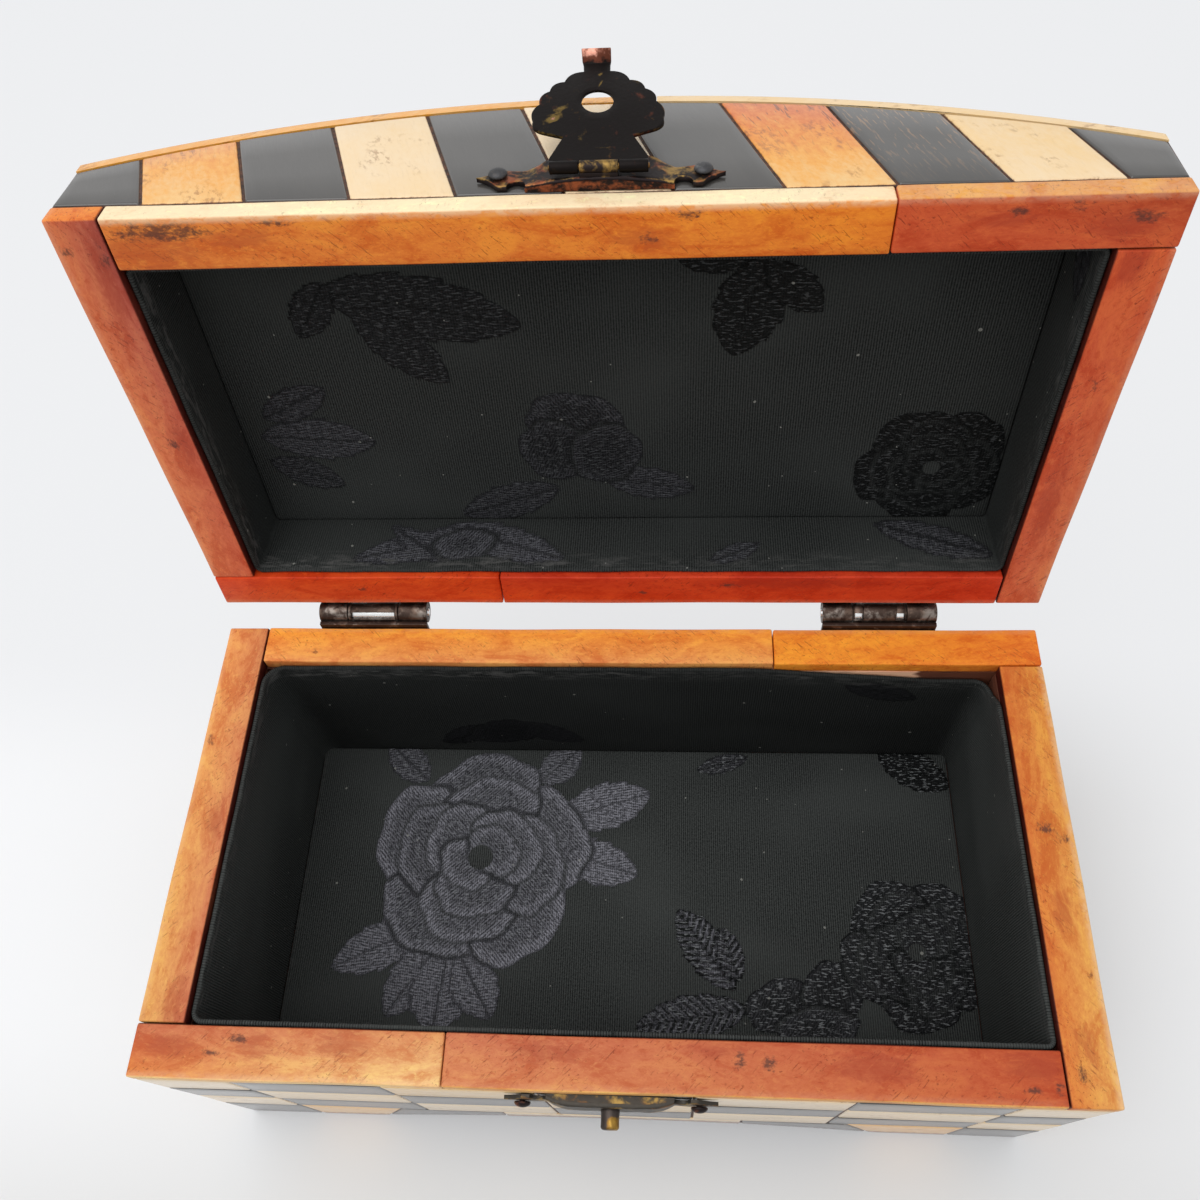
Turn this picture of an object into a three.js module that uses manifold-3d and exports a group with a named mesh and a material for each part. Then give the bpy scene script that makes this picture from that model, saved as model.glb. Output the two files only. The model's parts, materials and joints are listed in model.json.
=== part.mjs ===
// Dome top jewelry box: a wooden carcass faced with bone and horn tiles and lined with damask.
// The lid swings on two butt hinges, and a hasp on the lid drops over a post on the base.
// It is modelled with the lid open, in millimetres, +X to the right, +Y to the back and +Z up.
import * as THREE from 'three';
import { mergeVertices } from 'three/addons/utils/BufferGeometryUtils.js';
import Module from 'manifold-3d';

const wasm = await Module();
wasm.setup();

// Box
const boxWidth = 190;
const boxDepth = 100;
const baseHeight = 74;
const lidEndHeight = 19.3;
const lidCrownHeight = 39.5;
const lidOpenAngle = 100.7; // degrees from shut to leaning back on the stop
const rimGap = 0.5; // between the two rims when the lid is shut
const glueLine = 0.25; // between pieces that are glued or nailed together
const runningGap = 0.2; // between pieces that turn on each other

// Rims, skins and boards
const sideRimWidth = 9.6;
const frontRimWidth = 10;
const backRimWidth = 9;
const baseRimThick = 3.6;
const lidRimThick = 4.4;
const tileThick = 2;
const topSkinThick = 2.4;
const borderWidth = 7;
const liningThick = 1;
const liningDrop = 1.2; // the lining stops this far short of the rim's face
const liningCorner = 2.5;
const trayDepth = 50; // rim to floor lining
const lidHollow = 17.5; // rim to ceiling lining
const bottomThick = 5;

// Where the long rim strips and the front border are pieced, measured from the middle
const baseFrontSplice = -32.4;
const baseBackSplice = 35.1;
const lidFrontSplice = 48.4;
const lidBackSplice = -27.8;
const borderSplice = 9;

// Bracket feet
const frontArchHalf = 62;
const frontArchRise = 14;
const endArchHalf = 26;
const endArchRise = 9;

// Tile joints
const grooveWidth = 0.4;
const grooveDepth = 0.5;
const tileInset = 0.1; // tiles to the edge of the sheet that backs them
const tileWidth = 30.9;
const tileHeight = 16.3;
const tileShift = 0.9; // the checker sits this far off the middle
const courseJoint = 28; // bottom course, next to the middle tile
const footJoint = 51.3; // bottom course, top of the slanted joint over a foot
const footJointRun = 2.5; // its foot, this far inside the arch's end
const slatWidth = 18.3;
const slatShift = 5.55;
const slatLean = 0.32; // sideways run for each unit of height
const smallestTile = 4;
const topRows = 5;

// Hinges
const hingeInset = 35.4; // end of the box to the middle of a hinge
const hingeWidth = 26;
const hingeMiddle = 12; // middle knuckle, on the base leaf
const hingeKnuckleRadius = 2.05;
const hingePinRadius = 0.9;
const hingeSetback = 3.9; // axis behind the back face
const hingeRise = 1; // axis above the base rim
const leafThick = 1;
const leafHeight = 11;

// Hasp and keeper
const plateHalf = 21;
const plateHeight = 8;
const plateThick = 0.8;
const plateBulge = 1.2;
const plateBulgeHalf = 12.5;
const plateMargin = 0.8; // plate to rim strip
const plateNotchX = 14;
const plateNotchHalf = 1.6;
const plateNotchDepth = 1.9;
const plateFootX = 17.2;
const plateTipRise = 3.2;
const plateLobeX = 17;
const plateLobeRise = 6.2;
const plateWaistX = 12.6;
const plateWaistRise = 5.4;
const plateTopHalf = 9.2;
const plateHollow = 0.45; // how far the plate's curved edges draw in
const nailX = 17.3;
const nailRise = 3.4;
const nailHeadRadius = 1.65;
const nailHeadHeight = 1.1;
const nailShankRadius = 0.5;
const nailLength = 6; // shank under the head
const haspKnuckleRadius = 1.05;
const haspKnuckleHalf = 8.2;
const haspTongueHalf = 3.2;
const haspPinRadius = 0.45;
const haspPivotRise = 1.2; // pivot above the plate's straight edge
const flapThick = 0.7;
const flapRestAngle = 14; // degrees between the flap turned back and the lid's face
const flapReach = 15; // pivot to the middle of the hole
const flapHoleRadius = 2.95;
const flapNeckHalf = 5.9;
const flapNeckRise = 6.8; // pivot to the neck
const flapFlareRise = 3.4; // pivot to where the flap narrows to its neck
const flapShoulderHalf = 9.5;
const flapShoulderRise = 8.1; // pivot to the shell's shoulder
const flapScallops = [[11.1, -4], [10, 0], [8.3, 3.1], [5.7, 5.3]]; // from the middle, and past the hole
const flapScallopBow = 0.75;
const flapShellRise = 7.8; // hole to the top of the shell
const flapTabRise = 2.8; // top of the shell to the bend
const flapTabHalf = 2.45;
const flapTabLength = 2.5;
const flapTabBend = 50; // degrees, away from the lid's face when the flap is turned back
const postRadius = 1.87;
const postLength = 3.6; // beyond the keeper plate
const postEase = 0.6;
const rivetRadius = 1.1;
const rivetHeadRadius = 1.9;
const rivetHeadThick = 0.5;

// Roundness of turned pieces, the dome, small corners, cut-out outlines and one tile of the dome
const turnSides = 16;
const arcSteps = 12;
const cornerSteps = 3;
const outlineSteps = 4;
const tileSteps = 2;

// Planes worked out from the sizes above
const halfWidth = boxWidth / 2;
const midDepth = boxDepth / 2;
const boardX = halfWidth - tileThick - glueLine;
const boardFrontY = tileThick + glueLine;
const boardBackY = boxDepth - boardFrontY;
const innerX = halfWidth - sideRimWidth;
const innerFrontY = frontRimWidth;
const innerBackY = boxDepth - backRimWidth;
const baseWallTop = baseHeight - baseRimThick - glueLine;
const floorTop = baseHeight - trayDepth;
const bottomTop = floorTop - liningThick - glueLine;
const lidLow = baseHeight + rimGap;
const lidWallLow = lidLow + lidRimThick + glueLine;
const ceilingLow = lidLow + lidHollow;
const lidTopLow = ceilingLow + liningThick + glueLine;
const hingeY = boxDepth + hingeSetback;
const hingeZ = baseHeight + hingeRise;
const hingeCentre = halfWidth - hingeInset;

// The dome is a barrel with its axis along Y: its outer skin and the boards under it share one centre.
const domeRise = lidCrownHeight - lidEndHeight;
const domeRadius = (halfWidth ** 2 + domeRise ** 2) / (2 * domeRise);
const domeCentre = lidLow + lidCrownHeight - domeRadius;
const skinUnder = domeRadius - topSkinThick;
const boardDome = skinUnder - glueLine;

// Hasp places
const plateOuter = glueLine + plateBulge + plateThick; // from the tile face to the plate's crown
const plateEndOuter = glueLine + plateThick;
const haspEdge = lidLow + lidRimThick + plateMargin;
const keeperEdge = baseHeight - baseRimThick - plateMargin;
const haspPivotY = -(plateOuter + runningGap + haspKnuckleRadius);
const haspPivotZ = haspEdge + haspPivotRise;
const postZ = haspPivotZ - flapReach;

const finishes = {
  wood: { color: 0x8a4a2c, roughness: 0.75, metalness: 0 },
  boneTiles: { color: 0xe3cfae, roughness: 0.35, metalness: 0 },
  stainedBone: { color: 0xd17a2c, roughness: 0.35, metalness: 0 },
  paleBone: { color: 0xead9b8, roughness: 0.35, metalness: 0 },
  damask: { color: 0x17181a, roughness: 0.85, metalness: 0 },
  bronze: { color: 0x3a2a20, roughness: 0.4, metalness: 0.9 },
  steel: { color: 0x4a413a, roughness: 0.45, metalness: 0.9 },
  brass: { color: 0x9c7430, roughness: 0.35, metalness: 0.9 },
};

function addPiece(parent, name, geometry, finish) {
  const mesh = new THREE.Mesh(geometry, new THREE.MeshStandardMaterial(finishes[finish]));
  mesh.name = name;
  parent.add(mesh);
}

// Solids and booleans
function solid(geometry) {
  const bare = geometry.clone();
  bare.deleteAttribute('normal');
  bare.deleteAttribute('uv');
  const merged = mergeVertices(bare, 1e-4);
  const triVerts = new Uint32Array(merged.index.array);
  const vertProperties = merged.attributes.position.array;
  return new wasm.Manifold(new wasm.Mesh({ numProp: 3, vertProperties, triVerts }));
}

function meshGeometry(body) {
  const { vertProperties, triVerts } = body.getMesh();
  const geometry = new THREE.BufferGeometry();
  geometry.setAttribute('position', new THREE.BufferAttribute(new Float32Array(vertProperties), 3));
  geometry.setIndex(new THREE.BufferAttribute(new Uint32Array(triVerts), 1));
  geometry.computeVertexNormals();
  return geometry;
}

function joined(...geometries) {
  return meshGeometry(geometries.map(solid).reduce((whole, piece) => whole.add(piece)));
}

function cut(geometry, tools) {
  return meshGeometry(tools.map(solid).reduce((whole, tool) => whole.subtract(tool), solid(geometry)));
}

function common(first, second) {
  return meshGeometry(solid(first).intersect(solid(second)));
}

// Basic shapes
function block([x0, y0, z0], [x1, y1, z1]) {
  const geometry = new THREE.BoxGeometry(x1 - x0, y1 - y0, z1 - z0);
  return geometry.translate((x0 + x1) / 2, (y0 + y1) / 2, (z0 + z1) / 2);
}

function extruded(shape, depth, curveSegments = arcSteps) {
  return new THREE.ExtrudeGeometry(shape, { depth, bevelEnabled: false, curveSegments });
}

// A shape drawn in X and Z, carried along Y
function alongY(shape, y0, y1, curveSegments = arcSteps) {
  return extruded(shape, y1 - y0, curveSegments).rotateX(Math.PI / 2).translate(0, y1, 0);
}

// A shape drawn in Y and Z, carried along X
function alongX(shape, x0, x1) {
  const turn = new THREE.Matrix4().makeBasis(
    new THREE.Vector3(0, 1, 0),
    new THREE.Vector3(0, 0, 1),
    new THREE.Vector3(1, 0, 0),
  );
  return extruded(shape, x1 - x0).applyMatrix4(turn).translate(x0, 0, 0);
}

function rodAlongX(radius, x0, x1, y, z) {
  const rod = new THREE.CylinderGeometry(radius, radius, x1 - x0, turnSides);
  return rod.rotateZ(Math.PI / 2).translate((x0 + x1) / 2, y, z);
}

function rodAlongY(radius, y0, y1, x, z) {
  const rod = new THREE.CylinderGeometry(radius, radius, y1 - y0, turnSides);
  return rod.translate(x, (y0 + y1) / 2, z);
}

// A turned piece whose profile of [radius, reach] runs out towards the front, from y
function turnedToFront(profile, x, y, z) {
  const points = profile.map(([radius, reach]) => new THREE.Vector2(radius, reach));
  return new THREE.LatheGeometry(points, turnSides).rotateX(Math.PI).translate(x, y, z);
}

// Half an outline, drawn on the right, is mirrored to the left.
function mirrored(halfPath) {
  const right = halfPath.getPoints(outlineSteps);
  const left = right.map((p) => new THREE.Vector2(-p.x, p.y)).reverse();
  return new THREE.Shape([...right, ...left]);
}

// A curve to a point that bows out by so much to the right of its way, or draws in if bow is negative
function bowedTo(path, x, y, bow) {
  const from = path.currentPoint;
  const to = new THREE.Vector2(x, y);
  const way = to.clone().sub(from).normalize();
  const control = from.clone().add(to).divideScalar(2);
  control.add(new THREE.Vector2(way.y, -way.x).multiplyScalar(2 * bow));
  path.quadraticCurveTo(control.x, control.y, x, y);
}

function roundedRectangle(x, y0, y1, radius) {
  const shape = new THREE.Shape();
  shape.absarc(x - radius, y0 + radius, radius, -Math.PI / 2, 0);
  shape.absarc(x - radius, y1 - radius, radius, 0, Math.PI / 2);
  shape.absarc(radius - x, y1 - radius, radius, Math.PI / 2, Math.PI);
  shape.absarc(radius - x, y0 + radius, radius, Math.PI, 1.5 * Math.PI);
  shape.closePath();
  return shape;
}

// A wall standing on two feet, with an arch between them, drawn in from its edges by inset
function archedWall({ left, right, bottom, top, middle, archHalf, archRise }, inset = 0) {
  const radius = (archHalf ** 2 + archRise ** 2) / (2 * archRise) + inset;
  const centre = archRise + inset - radius;
  const low = bottom + inset;
  const spread = Math.acos((low - centre) / radius);
  const shape = new THREE.Shape();
  shape.moveTo(left + inset, top - inset);
  shape.lineTo(left + inset, low);
  shape.absarc(middle, centre, radius, Math.PI / 2 + spread, Math.PI / 2 - spread, true);
  shape.lineTo(right - inset, low);
  shape.lineTo(right - inset, top - inset);
  shape.closePath();
  return shape;
}

function domeArc(shape, radius, x0, x1) {
  const angle = (x) => Math.PI / 2 - Math.asin(x / radius);
  shape.absarc(0, domeCentre, radius, angle(x0), angle(x1), x1 > x0);
}

function domeHeight(radius, x) {
  return domeCentre + Math.sqrt(radius ** 2 - x ** 2);
}

// A piece with a flat foot at z and the dome's curve on top
function domedWall(x0, x1, z, radius) {
  const shape = new THREE.Shape();
  shape.moveTo(x1, z);
  shape.lineTo(x0, z);
  domeArc(shape, radius, x0, x1);
  shape.closePath();
  return shape;
}

function domeBand(x0, x1, outer, inner) {
  const shape = new THREE.Shape();
  domeArc(shape, outer, x0, x1);
  domeArc(shape, inner, x1, x0);
  shape.closePath();
  return shape;
}

// Tiled faces are drawn flat, u to the viewer's right and v up, and stand out towards the viewer.
// Each is one sheet whose tiles stand proud of it, with a groove along every joint.
const faces = {
  front: { right: [1, 0, 0], out: [0, -1, 0], at: [0, tileThick, 0] },
  back: { right: [-1, 0, 0], out: [0, 1, 0], at: [0, boxDepth - tileThick, 0] },
  left: { right: [0, -1, 0], out: [-1, 0, 0], at: [tileThick - halfWidth, midDepth, 0] },
  right: { right: [0, 1, 0], out: [1, 0, 0], at: [halfWidth - tileThick, midDepth, 0] },
};

function tiledFace(side, outline, tiles) {
  const { right, out, at } = faces[side];
  const place = new THREE.Matrix4().makeBasis(
    new THREE.Vector3(...right),
    new THREE.Vector3(0, 0, 1),
    new THREE.Vector3(...out),
  );
  const sheet = extruded(outline(0), tileThick - grooveDepth);
  const limits = extruded(outline(tileInset), 3 * tileThick).translate(0, 0, -tileThick);
  const raised = tiles.map((corners) => {
    const shape = new THREE.Shape(corners.map(([u, v]) => new THREE.Vector2(u, v)));
    return common(extruded(shape, 2 * grooveDepth).translate(0, 0, tileThick - 2 * grooveDepth), limits);
  });
  return joined(sheet, ...raised).applyMatrix4(place.setPosition(...at));
}

// Joints at an even spacing, one of them at first, as many as leave no sliver at the ends
function evenJoints(half, spacing, first) {
  const joints = [];
  const lowest = Math.ceil((smallestTile - half - first) / spacing);
  for (let k = lowest; first + k * spacing < half - smallestTile; k += 1) {
    joints.push(first + k * spacing);
  }
  return joints;
}

// One course of tiles between two heights, whose joints give u at any height v
// Its outer tiles are drawn past the ends, by more than a joint leans.
function courseTiles(half, joints, low, high, lean = 0) {
  const end = half + tileThick + lean * (high - low);
  const edges = [() => -end, ...joints, () => end];
  const gap = grooveWidth / 2;
  return edges.slice(1).map((rightEdge, k) => [
    [edges[k](low) + gap, low + gap],
    [rightEdge(low) - gap, low + gap],
    [rightEdge(high) - gap, high - gap],
    [edges[k](high) + gap, high - gap],
  ]);
}

const rowJoints = [];
for (let z = baseWallTop - tileHeight; z > tileHeight; z -= tileHeight) {
  rowJoints.push(z);
}
const courseTop = rowJoints[rowJoints.length - 1];

// Rows of upright joints, over a bottom course with joints of its own
function checkerTiles(half, columns, courseJoints) {
  const uprights = columns.map((u) => () => u);
  const tops = [baseWallTop + tileThick, ...rowJoints];
  const rows = rowJoints.flatMap((low, k) => courseTiles(half, uprights, low, tops[k]));
  return [...rows, ...courseTiles(half, courseJoints, -tileThick, courseTop)];
}

function slatTiles(half, middle) {
  const joints = evenJoints(half, slatWidth, middle + slatWidth / 2);
  const leaning = joints.map((u) => (v) => u - slatLean * (v - lidLow));
  return courseTiles(half, leaning, lidLow, lidLow + lidCrownHeight, slatLean);
}

const base = new THREE.Group();

// Base boards
function nailHoles(y0, y1, z) {
  return [-nailX, nailX].map((x) => rodAlongY(nailShankRadius + runningGap, y0, y1, x, z));
}

const keeperNailZ = keeperEdge - nailRise;
const haspNailZ = haspEdge + nailRise;
const nailDepth = nailLength - plateEndOuter + glueLine;
const endFrontY = innerFrontY + glueLine;
const endBackY = innerBackY - glueLine;
const frontArch = { middle: 0, archHalf: frontArchHalf, archRise: frontArchRise };
const endArch = { middle: midDepth, archHalf: endArchHalf, archRise: endArchRise };
const wallSpan = { bottom: 0, top: baseWallTop };
const baseFrontWall = archedWall({ left: -boardX, right: boardX, ...wallSpan, ...frontArch });
const baseEndWall = archedWall({ left: endFrontY, right: endBackY, ...wallSpan, ...endArch });
const baseFrontBoard = alongY(baseFrontWall, boardFrontY, innerFrontY);
const keeperHoles = nailHoles(-tileThick, nailDepth, keeperNailZ);
addPiece(base, 'base_front_board', cut(baseFrontBoard, keeperHoles), 'wood');
addPiece(base, 'base_back_board', alongY(baseFrontWall, innerBackY, boardBackY), 'wood');
addPiece(base, 'base_left_board', alongX(baseEndWall, -boardX, -innerX), 'wood');
addPiece(base, 'base_right_board', alongX(baseEndWall, innerX, boardX), 'wood');
const bottomBoard = block(
  [glueLine - innerX, endFrontY, bottomTop - bottomThick],
  [innerX - glueLine, endBackY, bottomTop],
);
addPiece(base, 'base_bottom_board', bottomBoard, 'wood');

// Base tiles stop just above the table, so that the boards carry the box.
function baseTiles(side, half, archHalf, archRise, tiles) {
  const edges = { left: -half, right: half, bottom: glueLine, top: baseWallTop };
  const outline = (inset) => archedWall({ ...edges, middle: 0, archHalf, archRise }, inset);
  return tiledFace(side, outline, tiles);
}

// A slanted joint runs down over each foot to the end of the arch.
const footRun = (frontArchHalf - footJointRun - footJoint) / courseTop;
const slanted = (v) => footJoint + footRun * (courseTop - v);
const frontColumns = evenJoints(halfWidth, tileWidth, tileShift + tileWidth / 2);
const frontCourse = [
  () => frontColumns[0],
  (v) => -slanted(v),
  () => -courseJoint,
  () => courseJoint,
  slanted,
  () => frontColumns[frontColumns.length - 1],
];
const frontChecker = checkerTiles(halfWidth, frontColumns, frontCourse);
const frontTiles = baseTiles('front', halfWidth, frontArchHalf, frontArchRise, frontChecker);
addPiece(base, 'base_front_inlay', cut(frontTiles, keeperHoles), 'boneTiles');
const backTiles = baseTiles('back', halfWidth, frontArchHalf, frontArchRise, frontChecker);
addPiece(base, 'base_back_inlay', backTiles, 'boneTiles');

const endHalf = midDepth - tileThick - glueLine;
const endColumns = evenJoints(endHalf, tileWidth, 0);
const endCourse = endColumns.filter((u) => u !== 0).map((u) => () => u);
const endChecker = checkerTiles(endHalf, endColumns, endCourse);
for (const side of ['left', 'right']) {
  const tiles = baseTiles(side, endHalf, endArchHalf, endArchRise, endChecker);
  addPiece(base, `base_${side}_inlay`, tiles, 'boneTiles');
}

// Rim strips butt at the corners like a pinwheel, and the long ones are pieced from two lengths.
// The base's pinwheel turns one way and the lid's the other.
const halfGlue = glueLine / 2;
function addRim(parent, body, low, high, turn, frontSplice, backSplice) {
  const sideFront = frontRimWidth + glueLine;
  const sideBack = innerBackY - glueLine;
  const leftRun = turn > 0 ? [sideFront, boxDepth] : [0, sideBack];
  const rightRun = turn > 0 ? [0, sideBack] : [sideFront, boxDepth];
  const frontRun = turn > 0 ? [-halfWidth, innerX - glueLine] : [-innerX + glueLine, halfWidth];
  const backRun = turn > 0 ? [-innerX + glueLine, halfWidth] : [-halfWidth, innerX - glueLine];
  const strips = {
    left: [-halfWidth, -innerX, ...leftRun],
    right: [innerX, halfWidth, ...rightRun],
    front_left: [frontRun[0], frontSplice - halfGlue, 0, frontRimWidth],
    front_right: [frontSplice + halfGlue, frontRun[1], 0, frontRimWidth],
    back_left: [backRun[0], backSplice - halfGlue, innerBackY, boxDepth],
    back_right: [backSplice + halfGlue, backRun[1], innerBackY, boxDepth],
  };
  for (const [place, [x0, x1, y0, y1]] of Object.entries(strips)) {
    addPiece(parent, `${body}_rim_${place}`, block([x0, y0, low], [x1, y1, high]), 'stainedBone');
  }
}
addRim(base, 'base', baseHeight - baseRimThick, baseHeight, 1, baseFrontSplice, baseBackSplice);

// Linings: a band round the walls with rounded corners, and a panel inside it
const liningX = innerX - glueLine;
const liningFront = innerFrontY + glueLine;
const liningBack = innerBackY - glueLine;

function wallLining(z0, z1) {
  const ring = roundedRectangle(liningX, liningFront, liningBack, liningCorner);
  const hole = roundedRectangle(
    liningX - liningThick,
    liningFront + liningThick,
    liningBack - liningThick,
    liningCorner - liningThick,
  );
  ring.holes.push(hole);
  return extruded(ring, z1 - z0, cornerSteps).translate(0, 0, z0);
}

function panelLining(z0) {
  const inset = liningThick + glueLine;
  const panel = roundedRectangle(
    liningX - inset,
    liningFront + inset,
    liningBack - inset,
    liningCorner - inset,
  );
  return extruded(panel, liningThick, cornerSteps).translate(0, 0, z0);
}
addPiece(base, 'base_wall_lining', wallLining(bottomTop + glueLine, baseHeight - liningDrop), 'damask');
addPiece(base, 'base_floor_lining', panelLining(bottomTop + glueLine), 'damask');

// Hasp and keeper plates: an ornamental outline, pressed out in the middle, drawn up or down from its edge
function plateOutline(direction, edge) {
  const half = new THREE.Path();
  half.moveTo(0, 0);
  half.lineTo(plateNotchX - plateNotchHalf, 0);
  half.absellipse(plateNotchX, 0, plateNotchHalf, plateNotchDepth, Math.PI, 0, true);
  half.lineTo(plateFootX, 0);
  bowedTo(half, plateHalf, plateTipRise, -plateHollow);
  bowedTo(half, plateLobeX, plateLobeRise, -plateHollow);
  bowedTo(half, plateWaistX, plateWaistRise, -plateHollow);
  bowedTo(half, plateTopHalf, plateHeight, -plateHollow);
  half.lineTo(0, plateHeight);
  const outline = mirrored(half).getPoints();
  return new THREE.Shape(outline.map((p) => new THREE.Vector2(p.x, edge + direction * p.y)));
}

// Seen from above, the pressed plate lies on the tiles at its ends and bows out between them.
function pressedBand(z0, z1) {
  const steps = 2 * arcSteps;
  const inner = [];
  for (let k = 0; k <= steps; k += 1) {
    const x = plateBulgeHalf * ((2 * k) / steps - 1);
    inner.push(new THREE.Vector2(x, -glueLine - plateBulge * (1 - (x / plateBulgeHalf) ** 2)));
  }
  inner.unshift(new THREE.Vector2(-plateHalf - 1, -glueLine));
  inner.push(new THREE.Vector2(plateHalf + 1, -glueLine));
  const outer = inner.map((p) => new THREE.Vector2(p.x, p.y - plateThick)).reverse();
  return extruded(new THREE.Shape([...inner, ...outer]), z1 - z0).translate(0, 0, z0);
}

function pressedPlate(direction, edge) {
  const band = pressedBand(edge - 2 * plateHeight, edge + 2 * plateHeight);
  return common(alongY(plateOutline(direction, edge), -2 * plateOuter, 0), band);
}

function nail(x, z) {
  const dome = [];
  for (let k = 0; k < cornerSteps; k += 1) {
    const angle = (k / cornerSteps) * (Math.PI / 2);
    dome.push([nailHeadRadius * Math.cos(angle), nailHeadHeight * Math.sin(angle)]);
  }
  dome.push([0, nailHeadHeight]);
  const profile = [[0, -nailLength], [nailShankRadius, -nailLength], [nailShankRadius, 0], ...dome];
  return turnedToFront(profile, x, -plateEndOuter - glueLine, z);
}

const postHole = rodAlongY(rivetRadius + runningGap, -2 * plateOuter, 0, 0, postZ);
const keeperPlate = pressedPlate(-1, keeperEdge);
const keeperPlateHoles = nailHoles(-2 * plateOuter, 0, keeperNailZ);
addPiece(base, 'keeper_plate', cut(keeperPlate, [...keeperPlateHoles, postHole]), 'bronze');
addPiece(base, 'keeper_nail_left', nail(-nailX, keeperNailZ), 'bronze');
addPiece(base, 'keeper_nail_right', nail(nailX, keeperNailZ), 'bronze');
const rivetSeat = -plateThick - glueLine;
const post = turnedToFront(
  [
    [0, rivetSeat - rivetHeadThick],
    [rivetHeadRadius, rivetSeat - rivetHeadThick],
    [rivetHeadRadius, rivetSeat],
    [rivetRadius, rivetSeat],
    [rivetRadius, glueLine],
    [postRadius, glueLine],
    [postRadius, postLength - postEase],
    [postRadius - postEase, postLength],
    [0, postLength],
  ],
  0,
  -plateOuter,
  postZ,
);
addPiece(base, 'keeper_post', post, 'brass');

// Lid, built shut and then turned open about the hinge pins
const lidHinge = new THREE.Group();
const lid = new THREE.Group();
lidHinge.position.set(0, hingeY, hingeZ);
lidHinge.rotation.x = -THREE.MathUtils.degToRad(lidOpenAngle);
lid.position.set(0, -hingeY, -hingeZ);
lidHinge.add(lid);

// Lid boards
const lidFrontWall = domedWall(-boardX, boardX, lidWallLow, boardDome);
const haspHoles = nailHoles(-tileThick, nailDepth, haspNailZ);
addPiece(lid, 'lid_front_board', cut(alongY(lidFrontWall, boardFrontY, innerFrontY), haspHoles), 'wood');
addPiece(lid, 'lid_back_board', alongY(lidFrontWall, innerBackY, boardBackY), 'wood');
const lidLeftWall = domedWall(-boardX, -innerX, lidWallLow, boardDome);
const lidRightWall = domedWall(innerX, boardX, lidWallLow, boardDome);
addPiece(lid, 'lid_left_board', alongY(lidLeftWall, endFrontY, endBackY), 'wood');
addPiece(lid, 'lid_right_board', alongY(lidRightWall, endFrontY, endBackY), 'wood');
const lidTopBlock = domedWall(glueLine - innerX, innerX - glueLine, lidTopLow, boardDome);
addPiece(lid, 'lid_top_board', alongY(lidTopBlock, endFrontY, endBackY), 'wood');

// Lid tiles: leaning slats on the walls, a checker on the dome inside a bone border
function lidFaceOutline(inset) {
  return domedWall(inset - halfWidth, halfWidth - inset, lidWallLow + inset, boardDome - inset);
}
const lidFaceSlats = slatTiles(halfWidth, slatShift);
const lidFrontTiles = tiledFace('front', lidFaceOutline, lidFaceSlats);
addPiece(lid, 'lid_front_inlay', cut(lidFrontTiles, haspHoles), 'boneTiles');
addPiece(lid, 'lid_back_inlay', tiledFace('back', lidFaceOutline, lidFaceSlats), 'boneTiles');

const lidEndTop = domeHeight(boardDome, halfWidth);
function lidEndOutline(inset) {
  const shape = new THREE.Shape();
  shape.moveTo(inset - endHalf, lidWallLow + inset);
  shape.lineTo(endHalf - inset, lidWallLow + inset);
  shape.lineTo(endHalf - inset, lidEndTop - inset);
  shape.lineTo(inset - endHalf, lidEndTop - inset);
  return shape;
}
for (const side of ['left', 'right']) {
  const tiles = tiledFace(side, lidEndOutline, slatTiles(endHalf, 0));
  addPiece(lid, `lid_${side}_inlay`, tiles, 'boneTiles');
}

const fieldX = halfWidth - borderWidth - glueLine;
const fieldFront = borderWidth + glueLine;
const fieldBack = boxDepth - fieldFront;
const fieldRow = (fieldBack - fieldFront) / topRows;
const fieldEdges = [-fieldX, ...frontColumns.filter((x) => Math.abs(x) < fieldX - smallestTile), fieldX];
const tileUnder = domeRadius - 2 * grooveDepth;
const fieldTiles = [];
for (let row = 0; row < topRows; row += 1) {
  const y0 = fieldFront + row * fieldRow + grooveWidth / 2;
  const y1 = y0 + fieldRow - grooveWidth;
  for (let k = 1; k < fieldEdges.length; k += 1) {
    const x0 = fieldEdges[k - 1] + grooveWidth / 2;
    const x1 = fieldEdges[k] - grooveWidth / 2;
    fieldTiles.push(alongY(domeBand(x0, x1, domeRadius, tileUnder), y0, y1, tileSteps));
  }
}
const fieldBand = domeBand(-fieldX, fieldX, domeRadius - grooveDepth, skinUnder);
const fieldSheet = alongY(fieldBand, fieldFront, fieldBack);
addPiece(lid, 'lid_top_inlay', joined(fieldSheet, ...fieldTiles), 'boneTiles');

const borders = {
  front_left: [-halfWidth, borderSplice - halfGlue, 0, borderWidth],
  front_right: [borderSplice + halfGlue, halfWidth, 0, borderWidth],
  back: [-halfWidth, halfWidth, boxDepth - borderWidth, boxDepth],
  left: [-halfWidth, borderWidth - halfWidth, fieldFront, fieldBack],
  right: [halfWidth - borderWidth, halfWidth, fieldFront, fieldBack],
};
for (const [place, [x0, x1, y0, y1]] of Object.entries(borders)) {
  const strip = alongY(domeBand(x0, x1, domeRadius, skinUnder), y0, y1);
  addPiece(lid, `lid_border_${place}`, strip, 'paleBone');
}

addRim(lid, 'lid', lidLow, lidLow + lidRimThick, -1, lidFrontSplice, lidBackSplice);
addPiece(lid, 'lid_wall_lining', wallLining(lidLow + liningDrop, ceilingLow + liningThick), 'damask');
addPiece(lid, 'lid_ceiling_lining', panelLining(ceilingLow), 'damask');

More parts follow.
